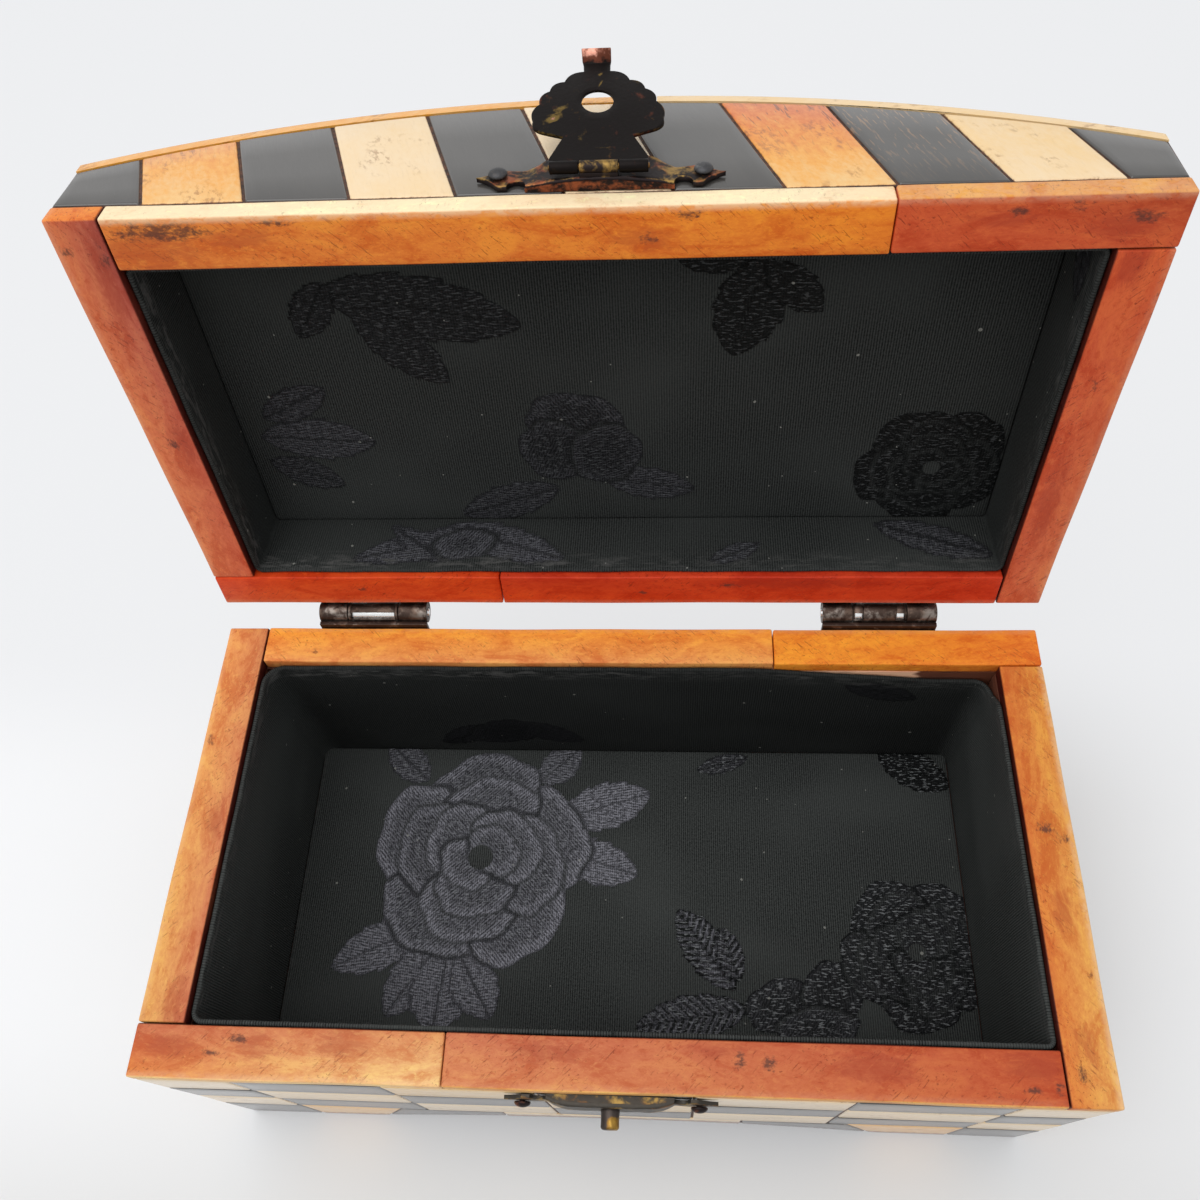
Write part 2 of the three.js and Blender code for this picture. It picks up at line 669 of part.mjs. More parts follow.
// Hinges: the base leaf has the middle knuckle and the lid leaf the two outer ones.
function hingeLeaf(middle, knuckles, direction) {
  const webOuter = hingeZ - direction * hingeKnuckleRadius;
  const webInner = webOuter + direction * leafThick;
  const plateEnd = webInner - direction * (leafHeight + leafThick);
  const span = (from, to) => [Math.min(from, to), Math.max(from, to)];
  const [webLow, webHigh] = span(webOuter, webInner);
  const [plateLow, plateHigh] = span(webInner, plateEnd);
  const seat = boxDepth + glueLine;
  const leaf = block(
    [middle - hingeWidth / 2, seat, plateLow],
    [middle + hingeWidth / 2, seat + leafThick, plateHigh],
  );
  const parts = knuckles.flatMap(([x0, x1]) => [
    block([x0, seat, webLow], [x1, hingeY, webHigh]),
    rodAlongX(hingeKnuckleRadius, x0, x1, hingeY, hingeZ),
  ]);
  const reach = hingeWidth;
  const bore = rodAlongX(hingePinRadius + runningGap, middle - reach, middle + reach, hingeY, hingeZ);
  return cut(joined(leaf, ...parts), [bore]);
}

for (const [side, middle] of [['left', -hingeCentre], ['right', hingeCentre]]) {
  const inner = hingeMiddle / 2;
  const outer = hingeWidth / 2;
  const baseKnuckle = [[middle - inner, middle + inner]];
  const lidKnuckles = [
    [middle - outer, middle - inner - runningGap],
    [middle + inner + runningGap, middle + outer],
  ];
  addPiece(base, `hinge_${side}_base_leaf`, hingeLeaf(middle, baseKnuckle, 1), 'steel');
  addPiece(lid, `hinge_${side}_lid_leaf`, hingeLeaf(middle, lidKnuckles, -1), 'steel');
  const pin = rodAlongX(hingePinRadius, middle - outer, middle + outer, hingeY, hingeZ);
  addPiece(base, `hinge_${side}_pin`, pin, 'steel');
}

// Hasp on the lid: the plate's tongue carries the flap's pin.
const tongueWeb = block(
  [-haspTongueHalf, haspPivotY, haspPivotZ - haspKnuckleRadius / 2],
  [haspTongueHalf, -plateOuter + plateThick / 2, haspPivotZ + haspKnuckleRadius / 2],
);
const tongue = rodAlongX(haspKnuckleRadius, -haspTongueHalf, haspTongueHalf, haspPivotY, haspPivotZ);
const haspBoreRadius = haspPinRadius + runningGap;
const haspBore = rodAlongX(haspBoreRadius, -haspKnuckleHalf, haspKnuckleHalf, haspPivotY, haspPivotZ);
const haspPlate = joined(pressedPlate(1, haspEdge), tongueWeb, tongue);
const haspPlateHoles = nailHoles(-2 * plateOuter, 0, haspNailZ);
addPiece(lid, 'hasp_plate', cut(haspPlate, [...haspPlateHoles, haspBore]), 'bronze');
addPiece(lid, 'hasp_nail_left', nail(-nailX, haspNailZ), 'bronze');
addPiece(lid, 'hasp_nail_right', nail(nailX, haspNailZ), 'bronze');

// Flap, drawn upright from its pivot and turned back over the lid's face
const flap = new THREE.Group();
flap.position.set(0, haspPivotY, haspPivotZ);
flap.rotation.x = THREE.MathUtils.degToRad(flapRestAngle);
lid.add(flap);

// A scalloped shell: the flare over the knuckles, a neck, the shell's scallops and the tab
const flapRoot = haspKnuckleRadius + runningGap;
const flapGapHalf = haspTongueHalf + runningGap;
const flapShellTop = flapReach + flapShellRise;
const flapBendRise = flapShellTop + flapTabRise;
const halfFlap = new THREE.Path();
halfFlap.moveTo(0, flapRoot);
halfFlap.lineTo(flapGapHalf, flapRoot);
halfFlap.lineTo(flapGapHalf, 0);
halfFlap.lineTo(haspKnuckleHalf, 0);
halfFlap.lineTo(haspKnuckleHalf, flapFlareRise);
halfFlap.lineTo(flapNeckHalf, flapNeckRise);
halfFlap.lineTo(flapShoulderHalf, flapShoulderRise);
for (const [x, rise] of flapScallops) {
  bowedTo(halfFlap, x, flapReach + rise, flapScallopBow);
}
bowedTo(halfFlap, flapTabHalf, flapShellTop, flapScallopBow);
halfFlap.lineTo(flapTabHalf, flapBendRise);
halfFlap.lineTo(0, flapBendRise);
const flapShape = mirrored(halfFlap);
const halfThick = flapThick / 2;
const flapPlate = alongY(flapShape, -halfThick, halfThick);
const flapHole = rodAlongY(flapHoleRadius, -flapThick, flapThick, 0, flapReach);
const bend = THREE.MathUtils.degToRad(flapTabBend);
const tab = block([-flapTabHalf, -halfThick, -halfThick], [flapTabHalf, halfThick, flapTabLength]);
tab.rotateX(bend).translate(0, 0, flapBendRise - halfThick / 2);
const flapKnuckles = [
  rodAlongX(haspKnuckleRadius, -haspKnuckleHalf, -flapGapHalf, 0, 0),
  rodAlongX(haspKnuckleRadius, flapGapHalf, haspKnuckleHalf, 0, 0),
];
const boreHalf = haspKnuckleHalf + runningGap;
const flapBore = rodAlongX(haspBoreRadius, -boreHalf, boreHalf, 0, 0);
addPiece(flap, 'hasp_flap', cut(joined(flapPlate, tab, ...flapKnuckles), [flapHole, flapBore]), 'bronze');
addPiece(flap, 'hasp_pin', rodAlongX(haspPinRadius, -haspKnuckleHalf, haspKnuckleHalf, 0, 0), 'brass');

// The origin is on the table, under the middle of the open box.
const jewelryBox = new THREE.Group();
const assembly = new THREE.Group();
assembly.add(base, lidHinge);
const extent = new THREE.Box3().setFromObject(assembly, true);
const middle = extent.getCenter(new THREE.Vector3());
assembly.position.set(-middle.x, -middle.y, -extent.min.z);
jewelryBox.add(assembly);

export default jewelryBox;
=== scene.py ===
# Dome top jewelry box: bone and horn tiles, stained bone rims, black damask lining, bronze hasp.
import bmesh
import bpy
import json
import math
import numpy as np
from mathutils import Matrix, Vector

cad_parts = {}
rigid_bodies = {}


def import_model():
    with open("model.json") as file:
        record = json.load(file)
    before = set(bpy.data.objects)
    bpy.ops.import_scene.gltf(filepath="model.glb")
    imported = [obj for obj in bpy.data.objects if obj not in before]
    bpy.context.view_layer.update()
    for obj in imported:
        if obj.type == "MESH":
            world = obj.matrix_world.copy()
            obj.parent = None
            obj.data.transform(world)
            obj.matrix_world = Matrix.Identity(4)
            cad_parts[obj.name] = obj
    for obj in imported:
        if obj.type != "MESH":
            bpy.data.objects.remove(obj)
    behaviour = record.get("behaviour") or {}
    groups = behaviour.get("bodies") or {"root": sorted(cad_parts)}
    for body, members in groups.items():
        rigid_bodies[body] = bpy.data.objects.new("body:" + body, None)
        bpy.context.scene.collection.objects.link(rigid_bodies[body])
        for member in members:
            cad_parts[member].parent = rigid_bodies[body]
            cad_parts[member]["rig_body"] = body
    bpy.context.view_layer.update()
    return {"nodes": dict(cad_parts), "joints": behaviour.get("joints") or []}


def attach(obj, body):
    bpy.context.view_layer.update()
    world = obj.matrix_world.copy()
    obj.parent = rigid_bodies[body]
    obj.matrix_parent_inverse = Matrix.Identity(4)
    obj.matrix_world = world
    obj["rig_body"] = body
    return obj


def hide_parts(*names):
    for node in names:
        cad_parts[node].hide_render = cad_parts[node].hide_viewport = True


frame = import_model()
nodes = frame["nodes"]
joints = {joint["name"]: joint for joint in frame["joints"]}
mm = 0.001
rng = np.random.default_rng(14)
print("frame loaded:", len(nodes), "nodes")

# Places. Lid pieces are drawn with the lid shut and the flap upright, then turned to rest.
hingePivot = np.array(joints["lid_hinge"]["pos_m"])
lidTravel = math.radians(joints["lid_hinge"]["range_deg"][1])
flapLean = math.pi - math.radians(joints["hasp_hinge"]["range_deg"][1])


# turn about a line along x through a pivot: y and z mix by cosine and sine
def turnX(points, angle, pivot):
    local = np.asarray(points, float) - pivot
    c, s = math.cos(angle), math.sin(angle)
    y = c * local[..., 1] - s * local[..., 2]
    z = s * local[..., 1] + c * local[..., 2]
    return np.stack([local[..., 0], y, z], -1) + pivot


haspPivot = turnX(np.array(joints["hasp_hinge"]["pos_m"]), lidTravel, hingePivot)


# the flap leans on its pin, then lid and flap swing open together
def atRest(points, body):
    if body == "flap":
        points = turnX(points, flapLean, np.zeros(3)) + haspPivot
    if body != "base":
        points = turnX(points, -lidTravel, hingePivot)
    return np.asarray(points, float)


# a node's vertices with the lid shut
def shutPoints(node):
    mesh = nodes[node].data
    flat = np.empty(len(mesh.vertices) * 3, np.float32)
    mesh.vertices.foreach_get("co", flat)
    points = flat.reshape(-1, 3).astype(float)
    return points if nodes[node]["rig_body"] == "base" else turnX(points, lidTravel, hingePivot)


# the low and high corners of the same
def shutBox(node):
    points = shutPoints(node)
    return points.min(0), points.max(0)


# Mesh making


# a patch is points, faces and marks; a grid joins each point to the next in both directions
def gridPatch(points, closeU=False, closeV=False, capU=False, marks=None):
    rows, columns = points.shape[:2]
    index = np.arange(rows * columns).reshape(rows, columns)
    u = np.arange(rows if closeU else rows - 1)
    v = np.arange(columns if closeV else columns - 1)
    uNext, vNext = (u + 1) % rows, (v + 1) % columns
    corners = [index[np.ix_(u, v)], index[np.ix_(uNext, v)]]
    corners += [index[np.ix_(uNext, vNext)], index[np.ix_(u, vNext)]]
    quads = np.stack(corners, -1).reshape(-1, 4)
    caps = [index[0], index[-1][::-1]] if capU else []
    flat = {}
    for name, value in (marks or {}).items():
        value = np.broadcast_to(value, (rows, columns) + np.shape(value)[2:])
        flat[name] = value.reshape(rows * columns, *value.shape[2:])
    return {"points": points.reshape(-1, 3), "quads": quads, "caps": caps, "marks": flat}


# a slab: the grid is its top, the ring round the grid drops to the bottom, and one face closes it
def slabPatch(points, marks=None):
    patch = gridPatch(points, marks=marks)
    rows, columns = points.shape[:2]
    index = np.arange(rows * columns).reshape(rows, columns)
    ring = [index[:-1, 0], index[-1, :-1], index[:0:-1, -1], index[0, :0:-1]]
    patch["caps"] = [np.concatenate(ring)]
    return patch


markTypes = {1: ("FLOAT", "value"), 3: ("FLOAT_VECTOR", "vector"), 4: ("FLOAT_COLOR", "color")}
weld = {"double": 0.0005 * mm, "sliver": 0.0002 * mm}  # points and edges closer than this become one


# patches side by side become one mesh: doubles merged, faces turned outwards, edges sharp by angle
def addPiece(name, body, finish, patches, stands=(), sharp=50):
    starts = np.cumsum([0] + [len(patch["points"]) for patch in patches])
    points = atRest(np.concatenate([patch["points"] for patch in patches]), body)
    quads = np.concatenate([patch["quads"] + start for patch, start in zip(patches, starts)])
    caps = [cap + start for patch, start in zip(patches, starts) for cap in patch["caps"]]
    loops = np.concatenate([quads.ravel(), *caps]).astype(np.int32)
    sizes = np.concatenate([np.full(len(quads), 4), [len(cap) for cap in caps]]).astype(np.int32)
    mesh = bpy.data.meshes.new(name)
    mesh.vertices.add(len(points))
    mesh.vertices.foreach_set("co", points.astype(np.float32).ravel())
    mesh.loops.add(len(loops))
    mesh.loops.foreach_set("vertex_index", loops)
    mesh.polygons.add(len(sizes))
    mesh.polygons.foreach_set("loop_start", (np.cumsum(sizes) - sizes).astype(np.int32))
    for mark in patches[0]["marks"]:
        values = np.concatenate([patch["marks"][mark] for patch in patches]).astype(np.float32)
        kind, field = markTypes[1 if values.ndim == 1 else values.shape[1]]
        mesh.attributes.new(mark, kind, "POINT").data.foreach_set(field, values.ravel())
    mesh.update(calc_edges=True)
    work = bmesh.new()
    work.from_mesh(mesh)
    bmesh.ops.remove_doubles(work, verts=work.verts, dist=weld["double"])
    bmesh.ops.dissolve_degenerate(work, edges=work.edges, dist=weld["sliver"])
    bmesh.ops.recalc_face_normals(work, faces=work.faces)
    work.to_mesh(mesh)
    work.free()
    mesh.shade_smooth()
    mesh.set_sharp_from_angle(angle=math.radians(sharp))
    mesh.materials.append(finish)
    piece = bpy.data.objects.new(name, mesh)
    bpy.context.scene.collection.objects.link(piece)
    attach(piece, body)
    if stands:
        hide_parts(*stands)
    return piece


# an eased bar: a box drawn in by the radius, grown by a ball, quarter by quarter
def barPatch(low, high, ease, marks=None, steps=3):
    centre, half = (np.asarray(low) + high) / 2, (np.asarray(high) - low) / 2 - ease
    quarter = np.linspace(0, math.pi / 2, steps + 1)
    lean = np.concatenate([quarter - math.pi / 2, quarter])[:, None]
    lengthSide = np.repeat([-1, 1], steps + 1)[:, None]
    around = np.concatenate([quarter + k * math.pi / 2 for k in range(4)])[None, :]
    widthSide = np.repeat([1, -1, -1, 1], steps + 1)[None, :]
    heightSide = np.repeat([1, 1, -1, -1], steps + 1)[None, :]
    x = lengthSide * half[0] + ease * np.sin(lean) + 0 * around
    y = widthSide * half[1] + ease * np.cos(lean) * np.cos(around)
    z = heightSide * half[2] + ease * np.cos(lean) * np.sin(around)
    points = np.stack([x, y, z], -1) + centre
    return gridPatch(points, closeV=True, capU=True, marks=marks(points) if marks else None)


# a turned shape: radius and height along the profile, spun about an axis
def turnedPatch(profile, base, axis, facets=24, marks=None):
    axis = np.asarray(axis, float) / np.linalg.norm(axis)
    side = np.cross(axis, [0, 0, 1] if abs(axis[2]) < 0.9 else [1, 0, 0])
    side /= np.linalg.norm(side)
    other = np.cross(axis, side)
    profile = np.asarray(profile, float)
    spin = np.linspace(0, 2 * math.pi, facets, endpoint=False)[:, None, None]
    radius, height = profile[None, :, :1], profile[None, :, 1:]
    points = base + radius * (np.cos(spin) * side + np.sin(spin) * other) + height * axis
    return gridPatch(points, closeU=True, marks=marks(points) if marks else None)


# a quadratic curve between two points, pulled sideways at its middle by the bow
def bowed(start, end, bow, steps=8):
    start, end = np.asarray(start, float), np.asarray(end, float)
    along = end - start
    side = np.array([-along[1], along[0]]) / np.linalg.norm(along)
    t = np.linspace(0, 1, steps, endpoint=False)[:, None]
    return start + t * along + 4 * t * (1 - t) * bow * side


# 0 at low, 1 at high, smooth between
def smoothstep(value, low, high):
    t = np.clip((value - low) / (high - low), 0, 1)
    return t * t * (3 - 2 * t)


# Shader maths


# a socket whose operators add Math nodes, with one method for every other node
class Wire:
    def __init__(self, tree, socket=None):
        self.tree = tree
        self.socket = socket

    def node(self, kind, settings=None, inputs=None, output=0):
        made = self.tree.nodes.new("ShaderNode" + kind)
        for name, value in (settings or {}).items():
            if name == "stops":
                ramp = made.color_ramp.elements
                while len(ramp) < len(value):
                    ramp.new(0.5)
                for stop, (place, colour) in zip(ramp, value):
                    stop.position = place
                    stop.color = colour
            else:
                setattr(made, name, value)
        for key, value in (inputs or {}).items():
            if isinstance(value, Wire):
                self.tree.links.new(value.socket, made.inputs[key])
            else:
                made.inputs[key].default_value = value
        return Wire(self.tree, made.outputs[output]) if made.outputs else None

    def math(self, operation, *values):
        return self.node("Math", {"operation": operation}, dict(enumerate(values)))

    def __add__(self, other):
        return self.math("ADD", self, other)

    def __radd__(self, other):
        return self.math("ADD", other, self)

    def __sub__(self, other):
        return self.math("SUBTRACT", self, other)

    def __rsub__(self, other):
        return self.math("SUBTRACT", other, self)

    def __mul__(self, other):
        return self.math("MULTIPLY", self, other)

    def __rmul__(self, other):
        return self.math("MULTIPLY", other, self)

    def sine(self):
        return self.math("SINE", self)

    # 0 below low, 1 above high, smooth between
    def step(self, low, high):
        settings = {"interpolation_type": "SMOOTHSTEP"}
        return self.node("MapRange", settings, {0: self, 1: low, 2: high, 3: 0.0, 4: 1.0})

    def stretched(self, scale):
        return self.node("VectorMath", {"operation": "MULTIPLY"}, {0: self, 1: scale})

    def noise(self, scale, detail=3.0, roughness=0.55, distortion=0.0):
        values = {"Vector": self.stretched(scale), "Scale": 1.0, "Detail": detail}
        values.update({"Roughness": roughness, "Distortion": distortion})
        return self.node("TexNoise", None, values)

    def mark(self, name, output):
        return self.node("Attribute", {"attribute_name": name}, None, output)

    def mixed(self, factor, first, second, blend="MIX"):
        settings = {"data_type": "RGBA", "blend_type": blend, "clamp_factor": True}
        return self.node("Mix", settings, {0: factor, 6: first, 7: second}, 2)

    def parts(self):
        split = self.node("SeparateXYZ", None, {0: self}).socket.node
        return [Wire(self.tree, socket) for socket in split.outputs]


# screen values 0 to 255 as linear light
def tint(red, green, blue):
    share = np.array([red, green, blue]) / 255
    linear = np.where(share <= 0.04045, share / 12.92, ((share + 0.055) / 1.055) ** 2.4)
    return (*(float(value) for value in linear), 1.0)


# an empty material, and a wire to start from
def newFinish(name):
    material = bpy.data.materials.new(name)
    material.use_nodes = True
    material.node_tree.nodes.clear()
    return material, Wire(material.node_tree)


# the shader itself: colour, gloss and bump go in, with any plain numbers
def closeFinish(wire, colour, roughness, height, relief, **plain):
    bump = wire.node("Bump", None, {"Strength": 1.0, "Distance": relief, "Height": height})
    inputs = {"Base Color": colour, "Roughness": roughness, "Normal": bump, **plain}
    shader = wire.node("BsdfPrincipled", None, inputs)
    wire.node("OutputMaterial", None, {"Surface": shader})


# Camera, floor and light
shot = {
    "place": (0.01302, -0.09846, 0.2973),
    "aim": (-0.00735, 0.04254, 0.05223),
    "roll": -7.083,  # degrees about the line of sight
    "lens": 32.31,
}
studio = {
    "floorTone": tint(238, 239, 241),
    "cloudTone": tint(234, 236, 239),  # faint clouds in it
    "nearTone": tint(197, 196, 193),  # painted shade: the floor darkens towards the viewer
    "nearEdge": (-0.17, -0.05),
    "glowEdge": (0.0, 0.06),  # behind the box the floor is as pale as the backdrop
    "glow": 0.8,
    "floorSize": 6.0,
    "skyLevel": 0.68,  # light from all round
    "skyShown": 1.0,  # what the camera and glossy surfaces see of it
    "lampPlace": (-0.25, -0.15, 0.95),
    "lampSize": 0.9,
    "lampPower": 5.3,
}


# the camera looks from its place to its aim and is rolled about that line
def setCamera():
    lens = bpy.data.cameras.new("shot")
    lens.lens = shot["lens"]
    camera = bpy.data.objects.new("shot", lens)
    sight = Vector(shot["aim"]) - Vector(shot["place"])
    roll = Matrix.Rotation(math.radians(shot["roll"]), 3, "Z")
    turn = sight.to_track_quat("-Z", "Y").to_matrix() @ roll
    camera.matrix_world = Matrix.Translation(shot["place"]) @ turn.to_4x4()
    bpy.context.scene.collection.objects.link(camera)
    bpy.context.scene.camera = camera


# 1 for rays that show the background: from the camera, or by way of metal or glass
def shownRays(wire):
    path = wire.node("LightPath").socket.node.outputs
    rays = ("Is Camera Ray", "Is Glossy Ray", "Is Transmission Ray")
    direct, glossy, through = (Wire(wire.tree, path[ray]) for ray in rays)
    return wire.math("MAXIMUM", direct, wire.math("MAXIMUM", glossy, through))


# one wide lamp that faces the box, and an even sky
def setLight():
    lamp = bpy.data.lights.new("softbox", "AREA")
    lamp.size = studio["lampSize"]
    lamp.energy = studio["lampPower"]
    softbox = bpy.data.objects.new("softbox", lamp)
    aim = -Vector(studio["lampPlace"])
    turn = aim.to_track_quat("-Z", "Y").to_matrix().to_4x4()
    softbox.matrix_world = Matrix.Translation(studio["lampPlace"]) @ turn
    bpy.context.scene.collection.objects.link(softbox)
    world = bpy.data.worlds.new("studio")
    world.use_nodes = True
    world.node_tree.nodes.clear()
    wire = Wire(world.node_tree)
    level = studio["skyLevel"] + shownRays(wire) * (studio["skyShown"] - studio["skyLevel"])
    sky = wire.node("Background", None, {"Color": (1, 1, 1, 1), "Strength": level})
    wire.node("OutputWorld", None, {"Surface": sky})
    bpy.context.scene.world = world
    bpy.context.scene.view_settings.view_transform = "Standard"


# a square of pale paper with painted shade towards the viewer, glowing like the sky behind the box
def layFloor():
    material, wire = newFinish("floor")
    place = wire.node("TexCoord", None, None, 3)
    cloud = place.noise((1.2, 1.2, 1.2), 2.0)
    depth = place.parts()[1]
    tone = wire.mixed(cloud, studio["floorTone"], studio["cloudTone"])
    # painted shade: the floor's tone darkens towards the viewer
    tone = wire.mixed(depth.step(*studio["nearEdge"]), studio["nearTone"], tone)
    paper = wire.node("BsdfPrincipled", None, {"Base Color": tone, "Roughness": 0.6})
    backdrop = wire.node("Emission", None, {"Color": studio["floorTone"], "Strength": 1.0})
    share = depth.step(*studio["glowEdge"]) * shownRays(wire) * studio["glow"]
    surface = wire.node("MixShader", None, {0: share, 1: paper, 2: backdrop})
    wire.node("OutputMaterial", None, {"Surface": surface})
    half = studio["floorSize"] / 2
    mesh = bpy.data.meshes.new("floor")
    corners = [(-half, -half, 0), (half, -half, 0), (half, half, 0), (-half, half, 0)]
    mesh.from_pydata(corners, [], [(0, 1, 2, 3)])
    mesh.materials.append(material)
    floor = bpy.data.objects.new("floor", mesh)
    bpy.context.scene.collection.objects.link(floor)


setCamera()
setLight()
layFloor()
print("camera, light and floor set")

# Finishes
rimLook = {
    "burnt": (0.8, 0.53, 0.42, 1),  # these three multiply a strip's own tone
    "dark": (0.4, 0.27, 0.27, 1),
    "light": (1.14, 1.42, 1.25, 1),
    "scorch": tint(140, 58, 48),
    "soot": tint(74, 50, 44),
    "worn": tint(250, 230, 190),
    "relief": 0.06 * mm,
}


# bone stained by hand: each strip's own tone, cloudy, burnt in places and scratched,
# and pale at its outer edge by wear and a painted highlight
def stainedBone():
    material, wire = newFinish("stained_bone")
    grain = wire.mark("grain", 1)  # millimetres along, in from the outer edge, and height
    tone = wire.mark("tone", 0)
    pale = wire.mark("tone", 3)
    burn = wire.mark("burn", 2)
    soot = wire.mark("soot", 2)
    along, inward, height = grain.parts()
    slant = wire.node("CombineXYZ", None, {0: along + inward, 1: along - inward, 2: height})
    cloud = grain.noise((0.07, 0.16, 0.1), 4.0, 0.62, 0.9)
    fine = grain.noise((0.42, 0.7, 0.7), 5.0, 0.68, 0.4)
    brush = grain.noise((0.16, 0.42, 0.4), 5.0, 0.72, 1.4)
    fleck = grain.noise((1.5, 2.2, 1.5), 2.0, 0.6, 0.6)
    flock = grain.noise((0.09, 0.15, 0.1), 2.0)
    stroke = slant.noise((0.22, 1.7, 0.7), 3.0, 0.65, 0.3)
    mottle = grain.noise((1.1, 2.4, 1.6), 4.0, 0.75)
    shades = (rimLook[name] for name in ("burnt", "dark", "light"))
    burnt, dark, light = (wire.mixed(1.0, tone, shade, "MULTIPLY") for shade in shades)
    colour = wire.mixed(cloud.step(0.48, 0.66) * 0.8, tone, burnt)
    colour = wire.mixed(cloud.step(0.5, 0.34) * 0.7, colour, light)
    colour = wire.mixed(fine.step(0.52, 0.68) * 0.6, colour, burnt)
    colour = wire.mixed(fine.step(0.47, 0.3) * 0.6, colour, light)
    colour = wire.mixed(mottle.step(0.5, 0.7) * 0.32, colour, burnt)
    colour = wire.mixed(mottle.step(0.48, 0.3) * 0.5, colour, light)
    scorch = (burn * 0.9 + (brush - 0.5) * 2.2).step(0.3, 1.0) * burn.step(0.0, 0.3)
    colour = wire.mixed(scorch * 0.6, colour, wire.mixed(0.35, burnt, rimLook["scorch"]))
    strokes = stroke.step(0.59, 0.68) * flock.step(0.4, 0.56)
    colour = wire.mixed(strokes * 0.65, colour, dark)
    colour = wire.mixed(stroke.step(0.38, 0.28) * 0.3, colour, light)
    flecks = fleck.step(0.62, 0.7) * flock.step(0.38, 0.58)
    colour = wire.mixed(flecks * 0.6, colour, dark)
    smear = (soot + (fine - 0.5) * 2.2 + (fleck - 0.5) * 1.2).step(0.35, 1.1) * soot.step(0.0, 0.3)
    colour = wire.mixed(smear * 0.8, colour, rimLook["soot"])
    # the pale outer edge: wear, and a painted highlight
    worn = inward.step(1.7, 0.2) * (0.25 + 0.75 * fine.step(0.34, 0.56)) * pale
    colour = wire.mixed(worn, colour, wire.mixed(0.65, tone, rimLook["worn"]))
    bump = fine * 0.6 + brush * 0.3 - flecks * 0.4 - strokes * 0.4
    closeFinish(wire, colour, 0.36 + 0.2 * fine, bump, rimLook["relief"], **{"Specular IOR Level": 0.16})
    return material


tilePolish = {"Coat Weight": 0.6, "Coat Roughness": 0.14}
boneLook = {
    # colours from no stain to the deepest
    "stain": [
        (0.0, tint(234, 210, 174)), (0.2, tint(231, 195, 136)), (0.45, tint(230, 160, 60)),
        (0.7, tint(214, 114, 26)), (1.0, tint(181, 66, 16)),
    ],
    "smudge": tint(132, 84, 52),
    "pore": tint(112, 56, 24),
    "edge": tint(104, 54, 34),
    "relief": 0.05 * mm,
}


# polished bone: cream through amber to rust by its stain, mottled, dark at its edges,
# with pores where the stain is deep
def boneTile():
    material, wire = newFinish("bone_tile")
    grain = wire.mark("grain", 1)  # millimetres along and across the grain, and a number for each tile
    stain = wire.mark("stain", 2)
    edge = wire.mark("edge", 2)
    sponge = grain.noise((0.6, 0.9, 1.0), 4.0, 0.64)
    pores = grain.noise((0.28, 2.0, 1.0), 2.0, 0.5)
    cloud = grain.noise((0.07, 0.11, 1.0), 3.0)
    patch = grain.noise((0.1, 0.15, 1.0), 3.0, 0.6)
    depth = stain + (sponge - 0.5) * (0.08 + stain * 0.7) + (cloud - 0.5) * 0.2
    colour = wire.node("ValToRGB", {"stops": boneLook["stain"]}, {0: depth})
    smudge = patch.step(0.54, 0.68) * sponge.step(0.48, 0.62)
    colour = wire.mixed(smudge * 0.5, colour, boneLook["smudge"])
    dash = pores.step(0.59, 0.67) * (0.04 + stain.step(0.42, 0.75) * 0.75)
    colour = wire.mixed(dash, colour, boneLook["pore"])
    line = (edge + (sponge - 0.5) * 1.4).step(0.3, 0.75)
    colour = wire.mixed(line * 0.75, colour, boneLook["edge"])
    height = sponge * 0.4 - dash * 0.6
    plain = {"Specular IOR Level": 0.3, **tilePolish}
    closeFinish(wire, colour, 0.3 + 0.2 * sponge, height, boneLook["relief"], **plain)
    return material


hornLook = {
    "ground": (tint(47, 45, 43), tint(63, 60, 57)),
    "scratch": tint(84, 82, 80),
    "streak": tint(164, 122, 78),
    "edge": tint(66, 42, 32),
    "relief": 0.02 * mm,
}


# black horn: an even dark grey with a soft polish, faint scratches, and tan streaks where the stain says
def hornTile():
    material, wire = newFinish("horn_tile")
    grain = wire.mark("grain", 1)
    stain = wire.mark("stain", 2)
    cloud = grain.noise((0.06, 0.2, 1.0), 3.0)
    streak = grain.noise((0.3, 1.9, 1.0), 2.0, 0.5, 0.2)
    scratch = grain.noise((0.35, 5.0, 1.0), 2.0)
    edge = wire.mark("edge", 2)
    colour = wire.mixed(cloud, *hornLook["ground"])
    colour = wire.mixed(scratch.step(0.66, 0.74) * 0.3, colour, hornLook["scratch"])
    colour = wire.mixed(streak.step(0.57, 0.66) * stain, colour, hornLook["streak"])
    colour = wire.mixed((edge + (cloud - 0.5)).step(0.4, 0.9) * 0.8, colour, hornLook["edge"])
    height = scratch * 0.4 + cloud * 0.3
    closeFinish(wire, colour, 0.3 + 0.12 * scratch, height, hornLook["relief"], **tilePolish)
    return material


glueLook = {"tones": (tint(30, 17, 12), tint(96, 58, 36)), "relief": 0.1 * mm}


# the dark glue that stands in the joints
def glueLine():
    material, wire = newFinish("glue_line")
    place = wire.node("TexCoord", None, None, 3)
    crumb = place.noise((900, 900, 900), 3.0)
    colour = wire.mixed(crumb.step(0.3, 0.75), *glueLook["tones"])
    closeFinish(wire, colour, 0.7, crumb, glueLook["relief"])
    return material


wood = {
    "alongX": (25, 260, 260),  # scales of the grain
    "alongY": (260, 25, 260),
    "scraped": (31 * mm, 67 * mm),  # a length of the back board
    "stained": (tint(58, 26, 18), tint(126, 70, 46)),
    # raw wood made paler than it is: painted light
    "raw": (tint(244, 168, 124), tint(255, 222, 190)),
    "pore": tint(36, 17, 12),
    "relief": 0.15 * mm,
}
